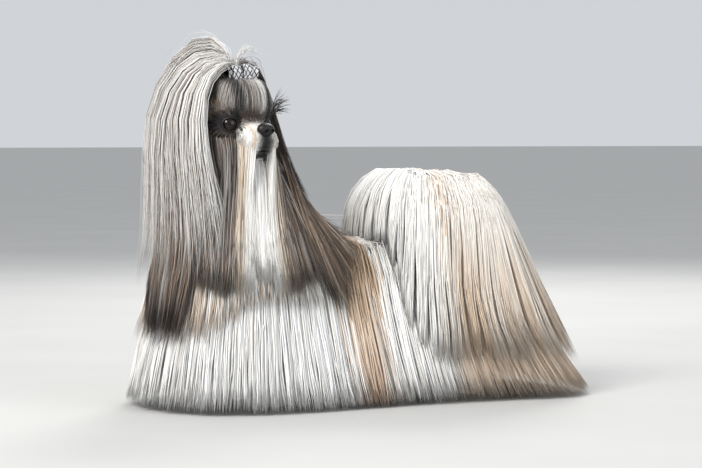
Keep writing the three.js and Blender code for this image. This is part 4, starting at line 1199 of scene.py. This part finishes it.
# Topknot
# The hair of the crown goes up through the elastic, opens like a fountain, and falls over the
# back of the skull and the ears in long white and silver strands, with curly wisps that fly off.
def topknot_coat(name, count, seed, wild, replaced=()):
    t, a, b, mine = strands(count, 11, seed)
    middle, number, _ = lock_of(a, 1 / 150, seed)
    degrees = mix(56, 304, mix(a, middle, 0.35))
    way = np.radians(degrees)
    outer = mine.random(count) ** 0.6
    spread = 1 - 0.22 * np.maximum(0, np.cos(way - math.radians(315)))
    rise = np.exp(-(((degrees - 150) / 48) ** 2))

    def ring(upright, reach, up, hug=1.0):
        """A ring of points round an upright; inner strands keep nearer to the skull."""
        held = reach * spread * mix(mix(0.62, 0.9, hug), 1.03, outer)
        return on_head(np.stack([upright + held * np.cos(way), held * np.sin(way), up + 0 * way], -1))

    loft = mine.random(count) ** 2
    high = mix(64, mix(72, 110, rise), outer) + 12 * loft * rise + wild * 4 * mine.random(count)
    knot, skull = KNOT_AT[0] - 4, -10
    turned = mix(52, 78, rise) * mix(0.72, 1, outer)
    points = [ring(knot, 5.5, 44), ring(knot, 6.5, 58), ring(knot, 12, high - 15), ring(knot, 36, high),
              ring(skull, 64, turned), ring(skull, 80, mix(24, 38, rise) - 6 * (1 - outer)),
              ring(skull, 97, -16, 0.4), ring(skull, 105, -66, 0.4)]
    over_ear = ease(-degrees, -190, -160)
    foot = mix(268, 250, mine.random(count)) - over_ear * mix(30, 115, mine.random(count) ** 2)
    for share in (0.5, 1.0):
        points.append(ruff_point(105 - degrees, mix(275, foot, share), VEIL + 10 + mix(-6, 2, outer)))
    points = np.stack(points, 1)
    if wild:
        points[:, 2:] += mine.normal(0, 8, points[:, 2:].shape)
    reach = mine.uniform(0.35, 0.75, (count, 1)) if wild else np.ones((count, 1))
    # the corners of the path are rounded off before the strand is drawn along it
    for _ in range(2):
        points[:, 2:-1] = (points[:, 1:-2] + 2 * points[:, 2:-1] + points[:, 3:]) / 4
    lines = along(points, t * reach)
    fleck = mine.random(count)
    pale = ease(np.sin(number * 1.7 + seed) + fleck, -0.5, 0.2) * ease(-degrees, -235, -205)
    tone = paint(TAUPE, SILVER, 0.9 * ease(fleck, 0.2, 0.6))
    tone = paint(tone, SMOKE, 0.85 * ease(degrees, 215, 250))
    tone = paint(tone, WHITE, 0.95 * pale)
    tone = paint(tone, GOLD, 0.35 * (mine.random(count) < 0.06))
    # the hair is palest where it springs from the elastic
    palest = 0.7 * ease(-t, -0.42, -0.12) * ease(-degrees, -240, -205)[:, None]
    tones = paint(all_along(tone, t), WHITE, palest)
    patch = np.stack([0.4 + 0.2 * a, 0.95 + 0.04 * b], -1)
    half_width, waviness = (0.45, 7.0) if wild else (0.75, 4.6)
    hair(name, lines, half_width * mine.uniform(0.6, 1.2, count), tones, patch, seed,
         None if wild else number, waviness, replaced, HEAD_AT)


topknot_coat("topknot_hair", 2700, 41, False, ["topknot"])
topknot_coat("topknot_wisps", 450, 42, True)


def flyaway_hair(count, seed):
    """Black wisps that fan from the far eye, and a pale curl that springs from the bow over them."""
    t = times(10)
    mine = np.random.default_rng(seed)
    share = mine.random(count)
    curl = np.arange(count) % 3 == 0
    fan = np.stack([on_head(toward([44, -34, -6 + 8 * k])) for k in share])
    rise = np.radians(mix(8, 78, share))
    away = np.stack([0.25 + 0 * rise, -np.cos(rise), np.sin(rise)], -1) @ HEAD_WAYS
    long = mine.uniform(16, 34, count)
    black = fan[:, None] + away[:, None] * (long[:, None] * t)[..., None]
    black[..., 2] += 5 * np.sin(math.pi * t) * mine.uniform(0.4, 1.4, (count, 1))
    spring = np.array([(18, -2, 56), (20, -8, 72), (22, -20, 80), (24, -36, 74), (26, -54, 64)])
    path = spring[None] + mine.normal(0, 2.2, (count, 5, 3)) * np.reshape([0.4, 1, 1.2, 1.5, 2.2], (1, 5, 1))
    pale = on_head(along(path, t * mine.uniform(0.5, 1, (count, 1))))
    lines = np.where(curl[:, None, None], pale, black)
    tone = np.where(curl[:, None], WHITE, BLACK)
    patch = np.stack([0.9 + 0.05 * share, 0.9 + 0.05 * share], -1)
    hair("flyaway_hair", lines, mine.uniform(0.3, 0.45, count), all_along(tone, t), patch,
         seed, None, 1.2, (), HEAD_AT)


flyaway_hair(90, 43)

# Tail
# Carried over the back. Its plume rises in a low dome and falls over the back, the croup and both
# flanks; the hair of its root is pale apricot, the tips are white.
PLUME_X = -122
# Reach from the plume's upright and height, from the top of its dome down to the tips
PLUME_SIDE = [(2, 297), (34, 295), (62, 286), (84, 266), (96, 240), (101, 205), (103, 160), (105, 118),
              (107, 76), (108, 40)]
PLUME_REAR = [(2, 297), (36, 295), (66, 286), (92, 264), (108, 240), (124, 208), (146, 160), (166, 118),
              (188, 76), (204, 40)]
BACK_AND_LEFT = [-0.866, 0.5, 0]
round_the_plume = coat_outlines(PLUME_X)


def plume_point(degrees, down, lift):
    degrees, down, lift = np.broadcast_arrays(*(np.asarray(v, float) for v in (degrees, down, lift)))
    heading = np.arctan2(np.sin(np.radians(degrees)), np.cos(np.radians(degrees)))
    rear = ease(-np.cos(heading), 0.1, 0.85)[..., None]
    at = along(PLUME_SIDE, down, True) * (1 - rear) + along(PLUME_REAR, down, True) * rear
    clear = coat_reach(round_the_plume, heading, at[..., 1]) + 11
    # over the back the hair meets the coat from above; at the flanks it lies outside it
    beside = 24 * ease(np.abs(np.sin(heading)), 0.5, 0.9) + 300 * rear[..., 0]
    reach = np.maximum(at[..., 0], np.minimum(clear, at[..., 0] + beside)) + lift
    return np.stack([PLUME_X + reach * np.cos(heading), reach * np.sin(heading),
                     at[..., 1] + lift * (1 - down)], -1)


def plume(name, first, last, count, seed):
    """Hair of the plume between two headings, in degrees from the neck round by the left."""
    t, a, b, mine = strands(count, 7, seed)
    degrees = mix(first, last, a)
    middle, number, chance = lock_of(degrees, 4.2, seed)
    swept = mix(degrees[:, None], middle[:, None], 0.45 * ease(t, 0.3, 1))
    ahead = ease(np.abs(degrees - 180), 118, 148)
    right = ease(degrees, 200, 235)
    tip = mix(mix(mix(0.74, 1, mine.random(count) ** 0.5), 0.72, right), 0.6, ahead)
    start = along(TAIL_LINE, np.clip(mix(0.25, 0.99, np.abs(np.cos(np.radians(degrees / 2)))), 0, 1))
    start = start + mine.normal(0, 3, (count, 3))
    lift = mix(-9.0, 4.5, mine.random(count) ** 0.7)[:, None]
    run = plume_point(swept, mix(0.04, 1, t) * tip[:, None], lift)
    lines = mix(start[:, None], run, ease(t, -0.1, 0.3)[..., None])
    aside = lines @ BACK_AND_LEFT
    warm = ease(aside, 105, 175) * (0.3 + 0.6 * ease(-lines[..., 2], -250, -90))
    tones = paint(WHITE, APRICOT, warm * (0.5 + 0.5 * chance[:, None]))
    streak = np.exp(-((aside - 120 - 0.25 * (290 - lines[..., 2])) / 14) ** 2)
    tones = paint(tones, GOLD, 0.6 * streak * (mine.random((count, 1)) < 0.6))
    patch = np.stack([0.7 + 0.25 * a, 0.02 + 0.1 * b], -1)
    hair(name, lines, mine.uniform(0.8, 1.5, count), tones, patch, seed, number, 3.0, (),
         (PLUME_X, 8, 150))


plume("plume_over_flank", -14, 120, 2700, 51)
plume("plume_over_croup", 110, 205, 2500, 52)
plume("plume_on_far_side", 205, 346, 1100, 53)

# Legs
# Hair of the legs falls straight down over the paws; all of it stands inside the body's coat.
def leg_coat(count, seed):
    t, a, b, mine = strands(count, 4, seed)
    which = mine.integers(0, 4, count)
    middles = np.array([(110, 48), (110, -48), (-172, 50), (-172, -50)])[which]
    heading = 2 * math.pi * a[:, None]
    z = mix(mix(88, 22, b)[:, None], 6.0, t)
    reach = mix(8, mix(19, 30, mine.random(count))[:, None], ease(t, 0, 0.4) * (1 - 0.15 * z / 88))
    ahead, aside = reach * np.cos(heading), 0.8 * reach * np.sin(heading)
    lines = np.stack([middles[:, :1] + ahead, middles[:, 1:] + aside, z], -1)
    patch = np.stack([which / 4 + a / 5, 0.3 + 0.1 * b], -1)
    hair("hair_of_legs", lines, mine.uniform(0.8, 1.3, count), np.broadcast_to(WHITE, lines.shape), patch,
         seed)


leg_coat(500, 61)

# Studio
# A plain pale floor under pale air, soft light from both sides and above, and the camera low at
# the dog's left shoulder, where the photograph was taken from.
BACK_TO_CAMERA = np.array([0.5, 0.866, 0])
AWAY = 3000
LENS = 120
EYE_LEVEL = 336
ASIDE = 14
LOOKS_DOWN = math.radians(2.4)
FILM_WIDE = 36
FLOOR_REACH = 60.0
MIDDLE_OF_DOG = (0, 0, 0.25)
pale, nodes, links, shader = new_material("pale floor", {"Roughness": 0.9})
where = nodes.new("ShaderNodeTexCoord")
haze = new_node(nodes, "ShaderNodeTexNoise", {"Scale": 3.0})
links.new(where.outputs["Object"], haze.inputs["Vector"])
tones = colour_scale(nodes, [(0, (0.52, 0.52, 0.51)), (1, (0.59, 0.59, 0.58))])
links.new(haze.outputs["Fac"], tones.inputs["Fac"])
links.new(tones.outputs["Color"], shader.inputs["Base Color"])
bpy.ops.mesh.primitive_grid_add(x_subdivisions=4, y_subdivisions=4, size=2 * FLOOR_REACH)
floor = bpy.context.object
floor.name = "floor"
floor.data.materials.append(pale)

bpy.context.scene.view_settings.view_transform = "Standard"
world = bpy.data.worlds.new("studio air")
bpy.context.scene.world = world
world.use_nodes = True
air = world.node_tree.nodes["Background"]
air.inputs["Color"].default_value = (0.93, 0.96, 1.0, 1)
air.inputs["Strength"].default_value = 0.68


def soft_box(name, place, watts, size, colour):
    """A round lamp with its place and width in metres, turned to the middle of the dog."""
    lamp = bpy.data.lights.new(name, "AREA")
    lamp.energy = watts
    lamp.shape = "DISK"
    lamp.size = size
    lamp.color = colour
    stand = bpy.data.objects.new(name, lamp)
    stand.location = place
    aim = np.array(MIDDLE_OF_DOG) - place
    stand.rotation_euler = Vector(aim).to_track_quat("-Z", "Y").to_euler()
    bpy.context.scene.collection.objects.link(stand)


soft_box("key", (2.4, 0.9, 2.2), 88, 1.4, (1.0, 0.97, 0.93))
soft_box("fill", (-1.2, 2.6, 1.3), 22, 2.0, (0.95, 0.98, 1.0))
soft_box("rim", (-1.4, -1.8, 1.9), 40, 1.2, (1.0, 0.98, 0.95))

lens = bpy.data.cameras.new("camera")
lens.lens = LENS
lens.sensor_width = FILM_WIDE
camera = bpy.data.objects.new("camera", lens)
right_of_image = np.array([-BACK_TO_CAMERA[1], BACK_TO_CAMERA[0], 0])
seat = BACK_TO_CAMERA * AWAY + right_of_image * ASIDE + [0, 0, EYE_LEVEL] + SHIFT
camera.location = seat * MM
sight = -BACK_TO_CAMERA + [0, 0, -math.tan(LOOKS_DOWN)]
camera.rotation_euler = Vector(sight).to_track_quat("-Z", "Y").to_euler()
bpy.context.scene.collection.objects.link(camera)
bpy.context.scene.camera = camera
